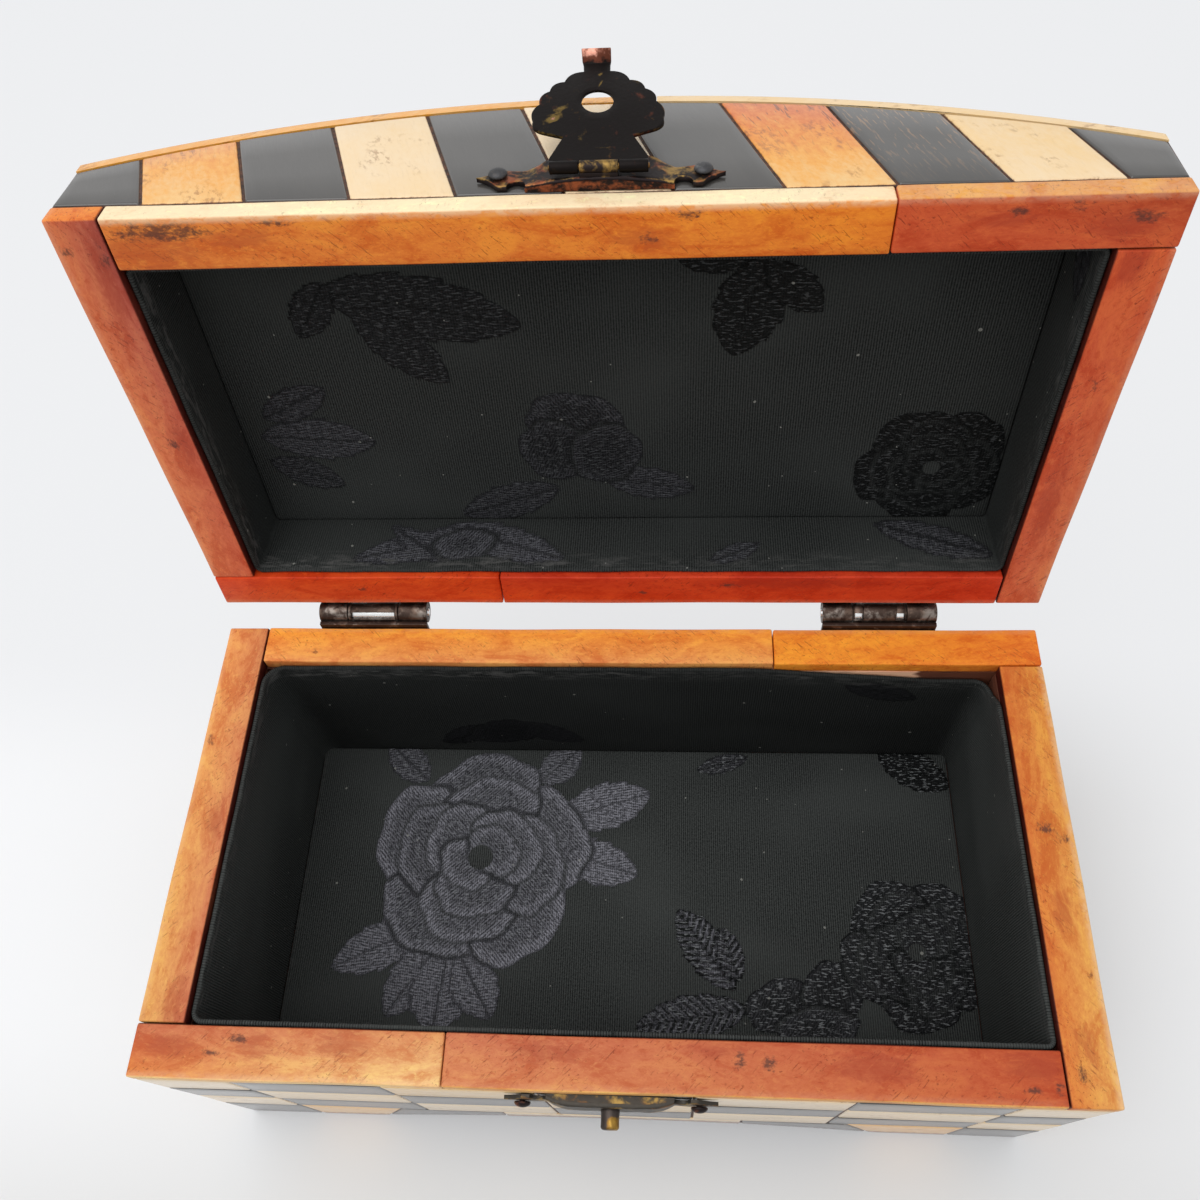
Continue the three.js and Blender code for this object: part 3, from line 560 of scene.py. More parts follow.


# stained carcass wood, dark red-brown with long grain; a scraped length along x is pale raw wood,
# lighter than its own tone as painted light
def carcassWood(name, grainScale, scraped=None):
    material, wire = newFinish(name)
    place = wire.node("TexCoord", None, None, 3)
    rings = place.noise(grainScale, 4.0, 0.6, 0.5)
    pore = place.noise(tuple(value * 4 for value in grainScale), 3.0)
    colour = wire.mixed(rings, *wood["stained"])
    if scraped:
        start, end = scraped
        along = place.parts()[0] + (rings - 0.5) * (12 * mm)
        bare = along.step(start - 1 * mm, start) * along.step(end + 2 * mm, end)
        colour = wire.mixed(bare, colour, wire.mixed(rings, *wood["raw"]))
    colour = wire.mixed(pore.step(0.56, 0.7) * 0.6, colour, wood["pore"])
    closeFinish(wire, colour, 0.5 + 0.25 * pore, pore * 0.7 + rings * 0.5, wood["relief"])
    return material


weaveLook = {
    "rib": 0.55,  # millimetres from rib to rib
    "twill": 0.72,
    "ground": (tint(8, 9, 9), tint(47, 49, 48)),
    "worn": tint(45, 47, 46),
    # satin floats shaded and lit, chosen by each motif's painted sheen
    "darkSatin": (tint(2, 3, 3), tint(14, 15, 15)),
    "lightSatin": (tint(34, 34, 37), tint(92, 92, 98)),
    "dash": tint(84, 86, 87),
    "sheen": tint(122, 122, 128),
    "groove": tint(9, 10, 11),
    "dusty": (2.6, 2.6, 2.6, 1),  # multiplies the cloth's own tone: dust and painted light
    "fuzz": (tint(52, 53, 53), tint(98, 97, 95)),
    "lint": tint(140, 140, 134),
    "relief": 0.12 * mm,
}


# woven lining: fine ribs on the ground, short satin floats on roses and leaves,
# lit or shaded by a painted sheen, soft fuzz at folds, a little lint, and dust with painted light
def damask():
    material, wire = newFinish("damask")
    weave = wire.mark("weave", 1)  # millimetres across and along the cloth
    hatch = wire.mark("hatch", 1)  # direction of the floats, and their painted sheen
    motif = wire.mark("motif", 2)
    groove = wire.mark("groove", 2)
    fuzz = wire.mark("fuzz", 2)
    dust = wire.mark("dust", 2)
    across, along, _ = weave.parts()
    hatchX, hatchY, sheenLift = hatch.parts()
    wobble = weave.noise((0.4, 0.15, 1.0), 2.0)
    rib = (across * (2 * math.pi / weaveLook["rib"]) + wobble * 2.5).sine() * 0.5 + 0.5
    run = across * hatchX + along * hatchY
    rise = along * hatchX - across * hatchY
    floats = wire.node("CombineXYZ", None, {0: run, 1: rise, 2: 0.0}).noise((0.8, 2.3, 1.0), 2.0, 0.65)
    twill = (rise * (2 * math.pi / weaveLook["twill"]) + wobble * 2.0).sine() * 0.5 + 0.5
    satin = (floats * (0.75 + 0.35 * twill + 0.3 * rib)).step(0.36, 0.76)
    crumb = weave.noise((2.0, 2.0, 1.0), 3.0, 0.7)
    wide = weave.noise((0.02, 0.03, 1.0), 2.0)
    streak = weave.noise((0.16, 0.7, 1.0), 4.0, 0.7, 0.4)
    ground = wire.mixed(rib * 0.7 + (crumb - 0.5) * 1.6 + 0.15, *weaveLook["ground"])
    ground = wire.mixed(wide.step(0.4, 0.66) * 0.45, ground, weaveLook["worn"])
    dark = wire.mixed(satin, *weaveLook["darkSatin"])
    light = wire.mixed(satin, *weaveLook["lightSatin"])
    dashes = weave.noise((0.65, 2.4, 1.0), 2.0).step(0.55, 0.64)
    dark = wire.mixed(dashes * dust * 1.15, dark, weaveLook["dash"])
    light = wire.mixed(crumb.step(0.54, 0.7) * 0.65, light, weaveLook["sheen"])
    ragged = (motif + (crumb - 0.5) * 0.9).step(0.3, 0.7)
    # painted sheen: each motif's floats take their lightness from its listed value, not from the lamps
    colour = wire.mixed(ragged, ground, wire.mixed(sheenLift, dark, light))
    colour = wire.mixed(groove * 0.75, colour, wire.mixed(0.4, ground, weaveLook["groove"]))
    # dust and painted light: the cloth is lightened most on the floor and the side walls
    colour = wire.mixed(dust, colour, wire.mixed(1.0, colour, weaveLook["dusty"], "MULTIPLY"))
    soft = fuzz * streak.step(0.44, 0.68)
    colour = wire.mixed(soft, colour, wire.mixed(crumb, *weaveLook["fuzz"]))
    lint = weave.noise((0.7, 0.7, 1.0), 0.0)
    colour = wire.mixed(lint.step(0.86, 0.88) * 0.7, colour, weaveLook["lint"])
    height = (1 - motif) * rib * 0.4 + motif * satin * 0.7 + crumb * 0.4
    relief, plain = weaveLook["relief"], {"Specular IOR Level": 0.12}
    closeFinish(wire, colour, 0.86 - 0.2 * motif, height, relief, **plain)
    return material


metalRelief = 0.06 * mm


# metal gone dark with handling; where its wear is high it is rubbed to copper or, where gilt, to gold
def wornMetal(name, dark, copper, gold, bright, metallic, gloss):
    material, wire = newFinish(name)
    place = wire.node("TexCoord", None, None, 3)
    wear = wire.mark("wear", 2)
    cloud = place.noise((300, 300, 300), 4.0, 0.65, 0.4)
    grit = place.noise((1500, 1500, 1500), 3.0)
    hue = place.noise((220, 220, 220), 2.0, 0.5, 0.5) + 0.4 * wire.mark("gilt", 2)
    level = wear + (cloud - 0.5) * 1.5 + (grit - 0.5) * 0.4
    colour = wire.mixed(level.step(0.3, 0.62), dark, wire.mixed(hue.step(0.42, 0.6), copper, gold))
    colour = wire.mixed(level.step(0.75, 1.05), colour, bright)
    roughness = gloss + 0.2 * grit - 0.12 * level.step(0.4, 0.9)
    closeFinish(wire, colour, roughness, cloud * 0.6 + grit * 0.4, metalRelief, Metallic=metallic)
    return material


# dark, copper, gold and bright tones of each metal, how metallic it is, and its roughness before wear
metals = {
    "bronze": ((36, 29, 29), (142, 80, 52), (150, 120, 66), (204, 146, 124), 0.85, 0.4),
    "flap_bronze": ((17, 12, 11), (88, 46, 32), (106, 86, 42), (190, 134, 116), 0.85, 0.4),
    "keeper_bronze": ((64, 60, 55), (112, 80, 50), (150, 122, 68), (196, 168, 112), 0.85, 0.4),
    "nail_iron": ((66, 66, 68), (92, 84, 80), (106, 106, 106), (186, 186, 186), 0.8, 0.38),
    "hinge_steel": ((60, 48, 42), (94, 78, 68), (126, 117, 110), (190, 186, 180), 0.9, 0.34),
    "worn_brass": ((70, 63, 60), (106, 76, 44), (140, 108, 48), (164, 130, 62), 0.95, 0.36),
    # near-white pin steel: bright metal and a painted highlight
    "pin_steel": ((150, 150, 150), (176, 178, 178), (196, 198, 198), (226, 228, 228), 0.9, 0.3),
}
finishes = {
    "rim": stainedBone(),
    "bone": boneTile(),
    "horn": hornTile(),
    "glue": glueLine(),
    "woodX": carcassWood("carcass_wood_lengthwise", wood["alongX"]),
    "woodY": carcassWood("carcass_wood_crosswise", wood["alongY"]),
    "woodScraped": carcassWood("carcass_wood_scraped", wood["alongX"], wood["scraped"]),
    "damask": damask(),
}
for metal, (*shades, metallic, gloss) in metals.items():
    finishes[metal] = wornMetal(metal, *(tint(*shade) for shade in shades), metallic, gloss)
print("finishes made:", len(finishes))

# Tiled faces
tiling = {
    "gap": 0.45 * mm,  # joint between tiles
    "ease": 0.42 * mm,  # rubbed round edges
    "jitter": 0.12 * mm,  # how far a hand-cut edge strays
    "tilt": 0.1 * mm,
    "glueDrop": 0.3 * mm,  # glue below the tiles' faces
    "glueRise": 0.22 * mm,  # glue pressed up under the dome's border
    "glueEase": 0.2 * mm,
    "glueSteps": (60, 12),
    "skinGap": 0.25 * mm,  # dome's skin above the walls
    "sunk": 0.3 * mm,  # tiles' undersides, out from the board
    "smallest": 4 * mm,  # no narrower tile at an end
    "width": 30.9 * mm,
    "height": 16.3 * mm,
    "shift": 0.9 * mm,  # checker off the middle
    "courseJoint": 28 * mm,
    "footJoint": (51.3 * mm, 59.5 * mm),  # slanted joint over a foot, at its top and its bottom
    "frontArch": (62 * mm, 14 * mm),
    "endArch": (26 * mm, 9 * mm),
    "slatWidth": 18.3 * mm,
    "slatShift": 13.9 * mm,
    "slatLean": 0.32,
    "slatDrop": 4.65 * mm,  # they are spaced along a line this far below them
    "topRows": 5,
    "footLine": (5.4 * mm, 3.4 * mm),  # painted shade along the foot, darkest at its lower edge
}
up = np.array([0.0, 0.0, 1.0])


# the dome: a circle through its crown and its two ends, as height over x
endSkin = shutPoints("lid_border_left")
endSkin = endSkin[endSkin[:, 0] < endSkin[:, 0].min() + 0.01 * mm]  # its outer face alone
crown, domeEnd = shutBox("lid_top_inlay")[1][2], endSkin[:, 2].max()
halfWidth = -endSkin[:, 0].min()
domeRadius = (halfWidth**2 + (crown - domeEnd) ** 2) / (2 * (crown - domeEnd))
domeCentre = crown - domeRadius


# a straight edge, leaning by its slope from an origin
def straight(value, slope=0.0, origin=0.0):
    return lambda other: value + slope * (other - origin)


# the foot line, with a round arch cut into it: a circle through the ground at both sides and its top
def archEdge(size, foot):
    half, rise = size
    radius = (half**2 + rise**2) / (2 * rise)
    return lambda u: np.maximum(foot, rise - radius + np.sqrt(np.maximum(radius**2 - u**2, 0)))


# shares of a length that close up at both ends, with a quarter round's fall there
def easedSteps(length, ease, inner):
    quarter = np.radians([0, 30, 60])
    edge, fall = ease * (1 - np.cos(quarter)), ease * (1 - np.sin(quarter))
    places = np.concatenate([edge, np.linspace(ease, length - ease, inner), length - edge[::-1]])
    return places / length, np.concatenate([fall, np.zeros(inner), fall[::-1]])


# shares over a rectangle that close up at its eased edges, the fall there, and the ring that drops
def easedGrid(width, height, ease, counts):
    a, fallA = easedSteps(width, ease, counts[0])
    b, fallB = easedSteps(height, ease, counts[1])
    a, b = np.meshgrid(np.pad(a, 1, "edge"), np.pad(b, 1, "edge"), indexing="ij")
    fall = np.hypot(np.pad(fallA, 1, "edge")[:, None], np.pad(fallB, 1, "edge")[None, :])
    ring = np.ones(a.shape, bool)
    ring[1:-1, 1:-1] = False
    return a, b, fall, ring


# one slab between four edge curves: each point takes its share of both pairs in turn until it settles
def tileSlab(tile, place, thick, gap, ease, counts=(10, 4)):
    stray = rng.uniform(-1, 1, 4) * tile.get("jitter", tiling["jitter"])
    tilt = rng.uniform(-1, 1, 2) * tiling["tilt"] * (gap > 0)
    seed = rng.uniform(0, 900)
    middleV = (tile["low"](tile["u"]) + tile["high"](tile["u"])) / 2
    width = tile["right"](middleV) - tile["left"](middleV)
    height = tile["high"](tile["u"]) - tile["low"](tile["u"])
    a, b, fall, ring = easedGrid(width, height, ease, counts)
    u = np.full(a.shape, tile["u"])
    for _ in range(5):
        low, high = tile["low"](u) + gap / 2, tile["high"](u) - gap / 2
        v = low + b * (high - low)
        left, right = tile["left"](v) + gap / 2, tile["right"](v) - gap / 2
        u = left + a * (right - left)
    u = u + (stray[0] * (1 - a) + stray[1] * a) * (b - 0.5)
    v = v + (stray[2] * (1 - b) + stray[3] * b) * (a - 0.5)
    h = thick - np.minimum(fall, ease) + tilt[0] * (a - 0.5) + tilt[1] * (b - 0.5)
    h = np.where(ring, tile.get("bottom", tiling["sunk"]), h)
    points = place(u, v, h)
    along, across = (v, u + tile.get("lean", 0) * v) if tile.get("upright") else (u, v)
    deep = thick - h  # the pattern runs on down the sides
    grain = np.stack([(along + deep) / mm + seed, (across + deep) / mm, np.full(a.shape, seed)], -1)
    first, last = tile["stain"]
    line = np.minimum(fall / ease, 1) * tile.get("stained", 1)
    # painted shade: tiles of the bottom course darken towards the foot
    if tile.get("foot"):
        line = np.maximum(line, smoothstep(v - tile["low"](u), *tiling["footLine"]))
    marks = {"grain": grain, "stain": first + (last - first) * b, "edge": line}
    return slabPatch(points, marks)


# a flat face: u to the right and height v, seen from outside, and h out from the board
def flatFace(node, right, out):
    low, high = shutBox(node)
    right, out = np.array(right, float), np.array(out, float)
    size = high - low
    level = (low + high) / 2 - out * (np.abs(out) @ size) / 2
    level[2] = 0
    face = {"half": np.abs(right) @ size / 2, "thick": np.abs(out) @ size}
    face.update({"low": low[2], "high": high[2]})
    face["place"] = lambda u, v, h: level + u[..., None] * right + v[..., None] * up + h[..., None] * out
    return face


# tiles of each kind become one piece, over a bed of glue that shows in the joints
def layTiles(node, body, face, tiles, bed):
    style = (face["place"], face["thick"], tiling["gap"], tiling["ease"])
    for kind in ("bone", "horn"):
        patches = [tileSlab(tile, *style) for tile in tiles if tile["kind"] == kind]
        addPiece(f"{node}_{kind}", body, finishes[kind], patches, [node])
    bed = {**bed, "u": 0.0, "stain": (0, 0), "bottom": 0.0, "jitter": 0.0}
    deep = face["thick"] - tiling["glueDrop"]
    bedSlab = tileSlab(bed, face["place"], deep, 0.0, tiling["glueEase"], tiling["glueSteps"])
    addPiece(f"{node}_glue", body, finishes["glue"], [bedSlab], [node])


boneShades = [0.02, 0.12, 0.05, 0.2, 0.0, 0.09]


# a tile between four edges; a stain that isn't given is drawn from the shades, and plain horn has none
def tileOf(left, right, low, high, kind, stain=None, **more):
    shade = boneShades[int(rng.integers(len(boneShades)))] if stain is None else stain
    shade = shade if isinstance(shade, tuple) else (shade, shade)
    shade = shade if kind == "bone" or stain is not None else (0.0, 0.0)
    tile = {"left": left, "right": right, "low": low, "high": high, "kind": kind, "stain": shade}
    tile["u"] = (left(low(0.0)) + right(low(0.0))) / 2
    return {**tile, **more}


# bone and horn in turn between upright joints, the other way about in every second row
def checkerRow(row, edges, low, high):
    tiles = []
    for k, (left, right) in enumerate(zip(edges, edges[1:])):
        kind = ("bone", "horn")[(k + row) % 2]
        tiles.append(tileOf(straight(left), straight(right), straight(low), straight(high), kind))
    return tiles


# rows of upright joints over a bottom course that has joints and kinds of its own
def checker(face, columns, courseJoints, kinds, arch):
    half, top, foot = face["half"], face["high"], face["low"]
    edges = [-half, *columns, half]
    tiles = []
    row = 0
    while top - tiling["height"] > tiling["height"]:
        tiles += checkerRow(row, edges, top - tiling["height"], top)
        top -= tiling["height"]
        row += 1
    bottom = archEdge(arch, foot)
    cuts = [straight(-half), *courseJoints(top), straight(half)]
    for left, right, (kind, stain) in zip(cuts, cuts[1:], kinds):
        tiles.append(tileOf(left, right, bottom, straight(top), kind, stain, foot=True))
    bed = dict(left=straight(-half), right=straight(half), low=bottom, high=straight(face["high"]))
    return tiles, bed


# joints every tile width, from the first one, that leave a tile of useful width at each end
def evenJoints(half, spacing, first):
    places = first + spacing * np.arange(-12, 13)
    return [float(place) for place in places if abs(place) < half - tiling["smallest"]]


# the joints of the long faces and the dome stand half a tile off the middle, and a little aside
def frontJoints(half):
    return evenJoints(half, tiling["width"], tiling["shift"] + tiling["width"] / 2)


# the bottom course of the front: upright joints, with a slanted one over each foot
def frontCourse(top):
    near, far = tiling["footJoint"]
    slope = (near - far) / top
    columns = frontJoints(halfWidth)
    joint = tiling["courseJoint"]
    middle = [straight(-far, -slope), straight(-joint), straight(joint), straight(far, slope)]
    return [straight(columns[0]), *middle, straight(columns[-1])]


# the bottom course of an end: one joint a tile's width either side of the middle
def endCourse(_):
    return [straight(-tiling["width"]), straight(tiling["width"])]


# kinds of tile from left to right, with their stain
courseKinds = [("horn", 0.1), ("bone", 0.3), ("horn", None), ("bone", 0.06)]
courseKinds += [("horn", None), ("bone", 0.34), ("horn", 0.1)]
endKinds = [("bone", 0.25), ("horn", None), ("bone", 0.2)]
# each side's way to the right, seen from outside, and its way out
sides = {
    "front": ((1, 0, 0), (0, -1, 0)),
    "back": ((-1, 0, 0), (0, 1, 0)),
    "left": ((0, -1, 0), (-1, 0, 0)),
    "right": ((0, 1, 0), (1, 0, 0)),
}


# a checker on each wall of the base
def tileBase():
    for side, (across, out) in sides.items():
        node = f"base_{side}_inlay"
        face = flatFace(node, across, out)
        if side in ("front", "back"):
            columns = frontJoints(face["half"])
            tiles, bed = checker(face, columns, frontCourse, courseKinds, tiling["frontArch"])
        else:
            columns = evenJoints(face["half"], tiling["width"], 0.0)
            tiles, bed = checker(face, columns, endCourse, endKinds, tiling["endArch"])
        layTiles(node, "base", face, tiles, bed)


# a circle of this radius about the dome's middle
def domeHeight(x, radius):
    return domeCentre + np.sqrt(radius**2 - x**2)


slatKinds = [
    ("horn", None), ("bone", (0.3, 0.55)), ("horn", None), ("bone", 0.06), ("horn", None), ("bone", 0.03),
    ("horn", None), ("bone", (0.3, 0.76)), ("horn", (0.0, 0.6)), ("bone", (0.06, 0.2)), ("horn", None),
]
endSlatKinds = [("horn", None), ("bone", 0.1), ("horn", None), ("bone", (0.2, 0.4)), ("horn", None)]


# slats on the lid: leaning, under the dome's curve, on the long walls, and upright on the ends
def tileLid():
    for side, (across, out) in sides.items():
        node = f"lid_{side}_inlay"
        face = flatFace(node, across, out)
        half, foot, high = face["half"], straight(face["low"]), face["high"]
        if side in ("front", "back"):
            lean, first, kinds = tiling["slatLean"], tiling["slatShift"], slatKinds
            crest = lambda rise: lambda u: domeHeight(u, high - domeCentre + rise)
        else:
            lean, first, kinds = 0.0, tiling["slatWidth"] / 2, endSlatKinds
            crest = lambda rise: straight(high + rise)
        level = face["low"] - tiling["slatDrop"]
        cuts = [straight(u, -lean, level) for u in evenJoints(half, tiling["slatWidth"], first)]
        cuts = [straight(-half), *cuts, straight(half)]
        tiles = []
        for left, right, (kind, stain) in zip(cuts, cuts[1:], kinds):
            tiles.append(tileOf(left, right, foot, crest(0.0), kind, stain, upright=True, lean=lean))
        bed = dict(left=cuts[0], right=cuts[-1], low=foot, high=crest(tiling["glueRise"]))
        layTiles(node, "lid", face, tiles, bed)


# the dome's face: u and v as seen from above, h as a step out to a wider circle
def domeFace(node):
    low, high = shutBox(node)
    middle = (low[1] + high[1]) / 2
    thick = domeRadius - (shutBox("lid_front_inlay")[1][2] - domeCentre) - tiling["skinGap"]
    face = {"half": (high[0] - low[0]) / 2, "depth": (high[1] - low[1]) / 2, "thick": thick}
    face["place"] = lambda u, v, h: np.stack([u, middle + v, domeHeight(u, domeRadius - thick + h)], -1)
    return face


# the same checker over the dome
def tileDome():
    node = "lid_top_inlay"
    face = domeFace(node)
    half, depth = face["half"], face["depth"]
    edges = [-half, *frontJoints(half + tiling["smallest"]), half]
    rows = np.linspace(-depth, depth, tiling["topRows"] + 1)
    tiles = []
    for row, (low, high) in enumerate(zip(rows, rows[1:])):
        tiles += checkerRow(row, edges, low, high)
    bed = dict(left=straight(-half), right=straight(half), low=straight(-depth), high=straight(depth))
    layTiles(node, "lid", face, tiles, bed)


borders = {
    "stain": {"front_left": 0.42, "front_right": 0.16, "back": 0.25, "left": 0.3, "right": 0.2},
    "gap": 0.02 * mm,
    "ease": 0.4 * mm,
    "steps": (64, 6),  # along x and across
    "endSteps": (12, 24),
}


# border strips round the dome, each one long tile on the same circle
def edgeDome():
    thick = domeFace("lid_top_inlay")["thick"]
    place = lambda u, v, h: np.stack([u, v, domeHeight(u, domeRadius - thick + h)], -1)
    for side, stain in borders["stain"].items():
        node = f"lid_border_{side}"
        low, high = shutBox(node)
        outline = [straight(value) for value in (low[0], high[0], low[1], high[1])]
        strip = tileOf(*outline, "bone", stain, bottom=0.0, jitter=0.0, stained=0)
        counts = borders["endSteps" if side in ("left", "right") else "steps"]
        patch = tileSlab(strip, place, thick, borders["gap"], borders["ease"], counts)
        addPiece(node + "_strip", "lid", finishes["bone"], [patch], [node])


tileBase()
tileLid()
tileDome()
edgeDome()
print("tiles laid")

# Rim strips: stained bone bars with eased edges
tones = {
    "ivory": tint(238, 217, 180),
    "wheat": tint(238, 192, 128),
    "straw": tint(223, 163, 88),
    "apricot": tint(232, 152, 86),
    "fawn": tint(210, 132, 84),
    "clay": tint(196, 110, 76),
    "ochre": tint(215, 138, 60),
    "ginger": tint(210, 116, 52),
    "marigold": tint(243, 150, 50),
    "pumpkin": tint(225, 120, 40),
    "russet": tint(185, 82, 46),
    "coral": tint(226, 128, 80),
    "salmon": tint(212, 112, 70),
    "wine": tint(166, 80, 70),
    "terracotta": tint(208, 96, 64),
    "cinnamon": tint(204, 86, 48),
    "caramel": tint(222, 126, 56),
    "tangerine": tint(240, 138, 40),
    "vermilion": tint(216, 70, 27),
    "garnet": tint(202, 58, 30),
    "umber": tint(74, 28, 22),
}
rims = {
    "ease": 0.35 * mm,
    "step": 1.2 * mm,
    "wander": 0.12 * mm,
    "skin": (0.3 * mm, 0.05 * mm),  # a side's own tone fades in over this
}
# tones at the outer and inner edge of a strip's low end, then of its high end
rimTones = {
    "base_rim_left": ("straw", "clay", "apricot", "fawn"),
    "base_rim_right": ("straw", "ginger", "ochre", "ginger"),
    "base_rim_front_left": ("ginger", "clay", "wheat", "fawn"),
    "base_rim_front_right": ("fawn", "clay", "russet", "russet"),
    "base_rim_back_left": ("marigold", "apricot", "marigold", "apricot"),
    "base_rim_back_right": ("marigold", "marigold", "pumpkin", "pumpkin"),
    "lid_rim_left": ("salmon", "wine", "coral", "terracotta"),
    "lid_rim_right": ("cinnamon", "cinnamon", "salmon", "terracotta"),
    "lid_rim_front_left": ("caramel", "caramel", "tangerine", "pumpkin"),
    "lid_rim_front_right": ("cinnamon", "cinnamon", "russet", "cinnamon"),
    "lid_rim_back_left": ("cinnamon", "vermilion", "vermilion", "vermilion"),
    "lid_rim_back_right": ("vermilion", "garnet", "garnet", "garnet"),
}
# the front end and the outward side where they are not like the rest, and how far the edge is paled;
# the paling and the lid's front left side hold wear and a painted highlight
rimEnds = {"lid_rim_left": "caramel"}
rimSides = {
    "base_rim_front_left": ("wheat", 0.3),
    "base_rim_front_right": ("straw", 0.12),
    "base_rim_right": ("straw", 0.5),
    # a painted highlight in this outward side's tone
    "lid_rim_front_left": ("ivory", 0.8),
    "lid_rim_front_right": ("ochre", 0.3),
}
# burnt patches: millimetres along and in from the outer edge, half length and half width
rimBurns = {
    "base_rim_left": [(52, 7, 7, 3), (14, 7, 8, 4)],
    "base_rim_right": [(11, 5, 6, 3), (36, 5, 7, 3)],
    "base_rim_front_left": [(-88, 6, 6, 3), (-70, 6, 6, 4), (-53, 7, 8, 3)],
    "base_rim_front_right": [(-12, 7, 11, 3), (50, 6, 13, 4), (80, 7, 8, 4), (20, 8, 9, 2)],
    "lid_rim_left": [(12, 7, 12, 4), (50, 7, 8, 3)],
    "lid_rim_right": [(12, 6, 9, 4), (68, 6, 18, 3)],
    "lid_rim_front_left": [(-78, 6, 12, 5), (-62, 4, 9, 3), (7, 6, 9, 3)],
    "lid_rim_front_right": [(86, 6, 9, 4), (66, 4, 8, 2)],
    "lid_rim_back_right": [(40, 7, 30, 3)],
}
# dark smears, measured the same way
rimSmears = {
    "base_rim_left": [(71, 1.5, 1.2, 1)],
    "base_rim_right": [(53, 5.5, 1.6, 2.4), (51, 2, 1.4, 1.4), (6, 6.5, 2.4, 1.4), (24, 2.2, 1.6, 0.7)],
    "base_rim_front_left": [(-74, 7.5, 3, 1.2), (-79, 5, 2.4, 1)],
    "base_rim_front_right": [
        (79, 2.6, 2, 1.1), (73, 2, 1.4, 0.9), (84, 3.6, 1.2, 1.6), (25, 6.5, 1.6, 2.4), (30.5, 6, 2, 2.2),
    ],
    "base_rim_back_left": [(-73, 6, 1.1, 0.8)],
    "lid_rim_left": [(6, 2, 1.6, 1.4), (7, 8.4, 5, 1), (50, 5, 2.2, 1.2)],
    "lid_rim_right": [(38, 5.6, 1.4, 0.6), (50, 2.4, 1.7, 0.6), (6, 3, 3, 1.4)],
    "lid_rim_front_left": [(-75, 2.6, 13, 2.4), (8, 6, 2.2, 1.2), (15, 2, 4, 1), (-55, 1.2, 5, 0.8)],
    "lid_rim_front_right": [(68, 3, 2.4, 1), (77, 2, 3.2, 1), (88, 4, 4, 1.6)],
    "lid_rim_back_left": [(-61, 5, 1.6, 1.1)],
    "lid_rim_back_right": [(25, 6, 3, 1), (5, 4, 1.4, 0.8)],
}


# a rounded oblong: a quarter turn at each corner, with points between on each side
def oblong(halfA, halfB, ease, countA, countB):
    quarter = np.linspace(0, math.pi / 2, 4)
    signs = [(1, 1), (-1, 1), (-1, -1), (1, -1)]
    arcs = []
    for k, (signA, signB) in enumerate(signs):
        turn = quarter + k * math.pi / 2
        middle = np.array([signA * (halfA - ease), signB * (halfB - ease)])
        arcs.append(middle + ease * np.stack([np.cos(turn), np.sin(turn)], -1))
    points = []
    for k, count in enumerate((countA, countB, countA, countB)):
        first, last = arcs[k][-1], arcs[(k + 1) % 4][0]
        share = np.linspace(0, 1, count + 1)[1:-1, None]
        points += [arcs[k], first + share * (last - first)]
    return np.concatenate(points)


# a bar along x or y: the oblong carried from end to end, drawn in at both ends,
# with a slow wander sideways
def stripPatch(low, high, along, marks, seed):
    length = high[along] - low[along]
    half, middle = (high - low) / 2, (low + high) / 2
    places, fall = easedSteps(length, rims["ease"], int(length / rims["step"]))
    wide, tall = half[1 - along], half[2]
    loop = oblong(wide, tall, rims["ease"], int(2 * wide / rims["step"]), 4)
    start = low[along] + places[:, None] * length
    wander = rims["wander"] * np.sin(start / mm * 0.11 + seed) * np.sin(start / mm * 0.047 + 2 * seed)
    side = loop[None, :, 0] * (1 - fall[:, None] / wide) + wander
    rise = loop[None, :, 1] * (1 - fall[:, None] / tall)
    points = np.zeros(side.shape + (3,))
    points[..., along] = start
    points[..., 1 - along] = middle[1 - along] + side
    points[..., 2] = middle[2] + rise
    return gridPatch(points, closeV=True, capU=True, marks=marks(points))


# soft ovals added together, each full in its middle and gone at its edge
def ovals(spots, along, inward):
    total = np.zeros(along.shape)
    for place, depth, halfLength, halfWidth in spots:
        reach = np.hypot((along - place) / halfLength, (inward - depth) / halfWidth)
        total = np.maximum(total, smoothstep(reach, 1.25, 0.25))
    return total


# marks for a strip: where a point lies in it, its tone between the four corners, burns and smears
def rimMarks(node, along, outer, low, high, seed):
    across = 1 - along
    first, second, third, fourth = (np.array(tones[name]) for name in rimTones[node])
    wide = high[across] - low[across]
    hidden = 0.0 if "back" in node else 1.0
    side, pale = rimSides.get(node, ("straw", 0.2))
    skin, end = np.array(tones[side]), np.array(tones[rimEnds.get(node, "straw")])

    def marks(points):
        inward = np.abs(points[..., across] - outer)
        run = points[..., along] - (boxFront if along == 1 else 0.0)
        w = np.clip(inward / wide, 0, 1)[..., None]
        s = np.clip((points[..., along] - low[along]) / (high[along] - low[along]), 0, 1)[..., None]
        tone = (1 - s) * (first + (second - first) * w) + s * (third + (fourth - third) * w)
        outward = smoothstep(inward, *rims["skin"])[..., None]
        inside = smoothstep(wide - inward, *rims["skin"])[..., None] * hidden
        tip = smoothstep(points[..., along] - low[along], *rims["skin"])[..., None]
        tone = tone + (skin - tone) * outward * (node in rimSides)
        tone = tone + (end - tone) * tip * (node in rimEnds)
        tone = tone + (np.array(tones["umber"]) - tone) * inside
        tone[..., 3] = pale
        grain = np.stack([run / mm + seed, inward / mm, points[..., 2] / mm], -1)
        burn = ovals(rimBurns.get(node, []), run / mm, inward / mm)
        soot = ovals(rimSmears.get(node, []), run / mm, inward / mm)
        return {"grain": grain, "tone": tone, "burn": burn, "soot": soot}

    return marks


boxFront = shutBox("base_front_inlay")[0][1]


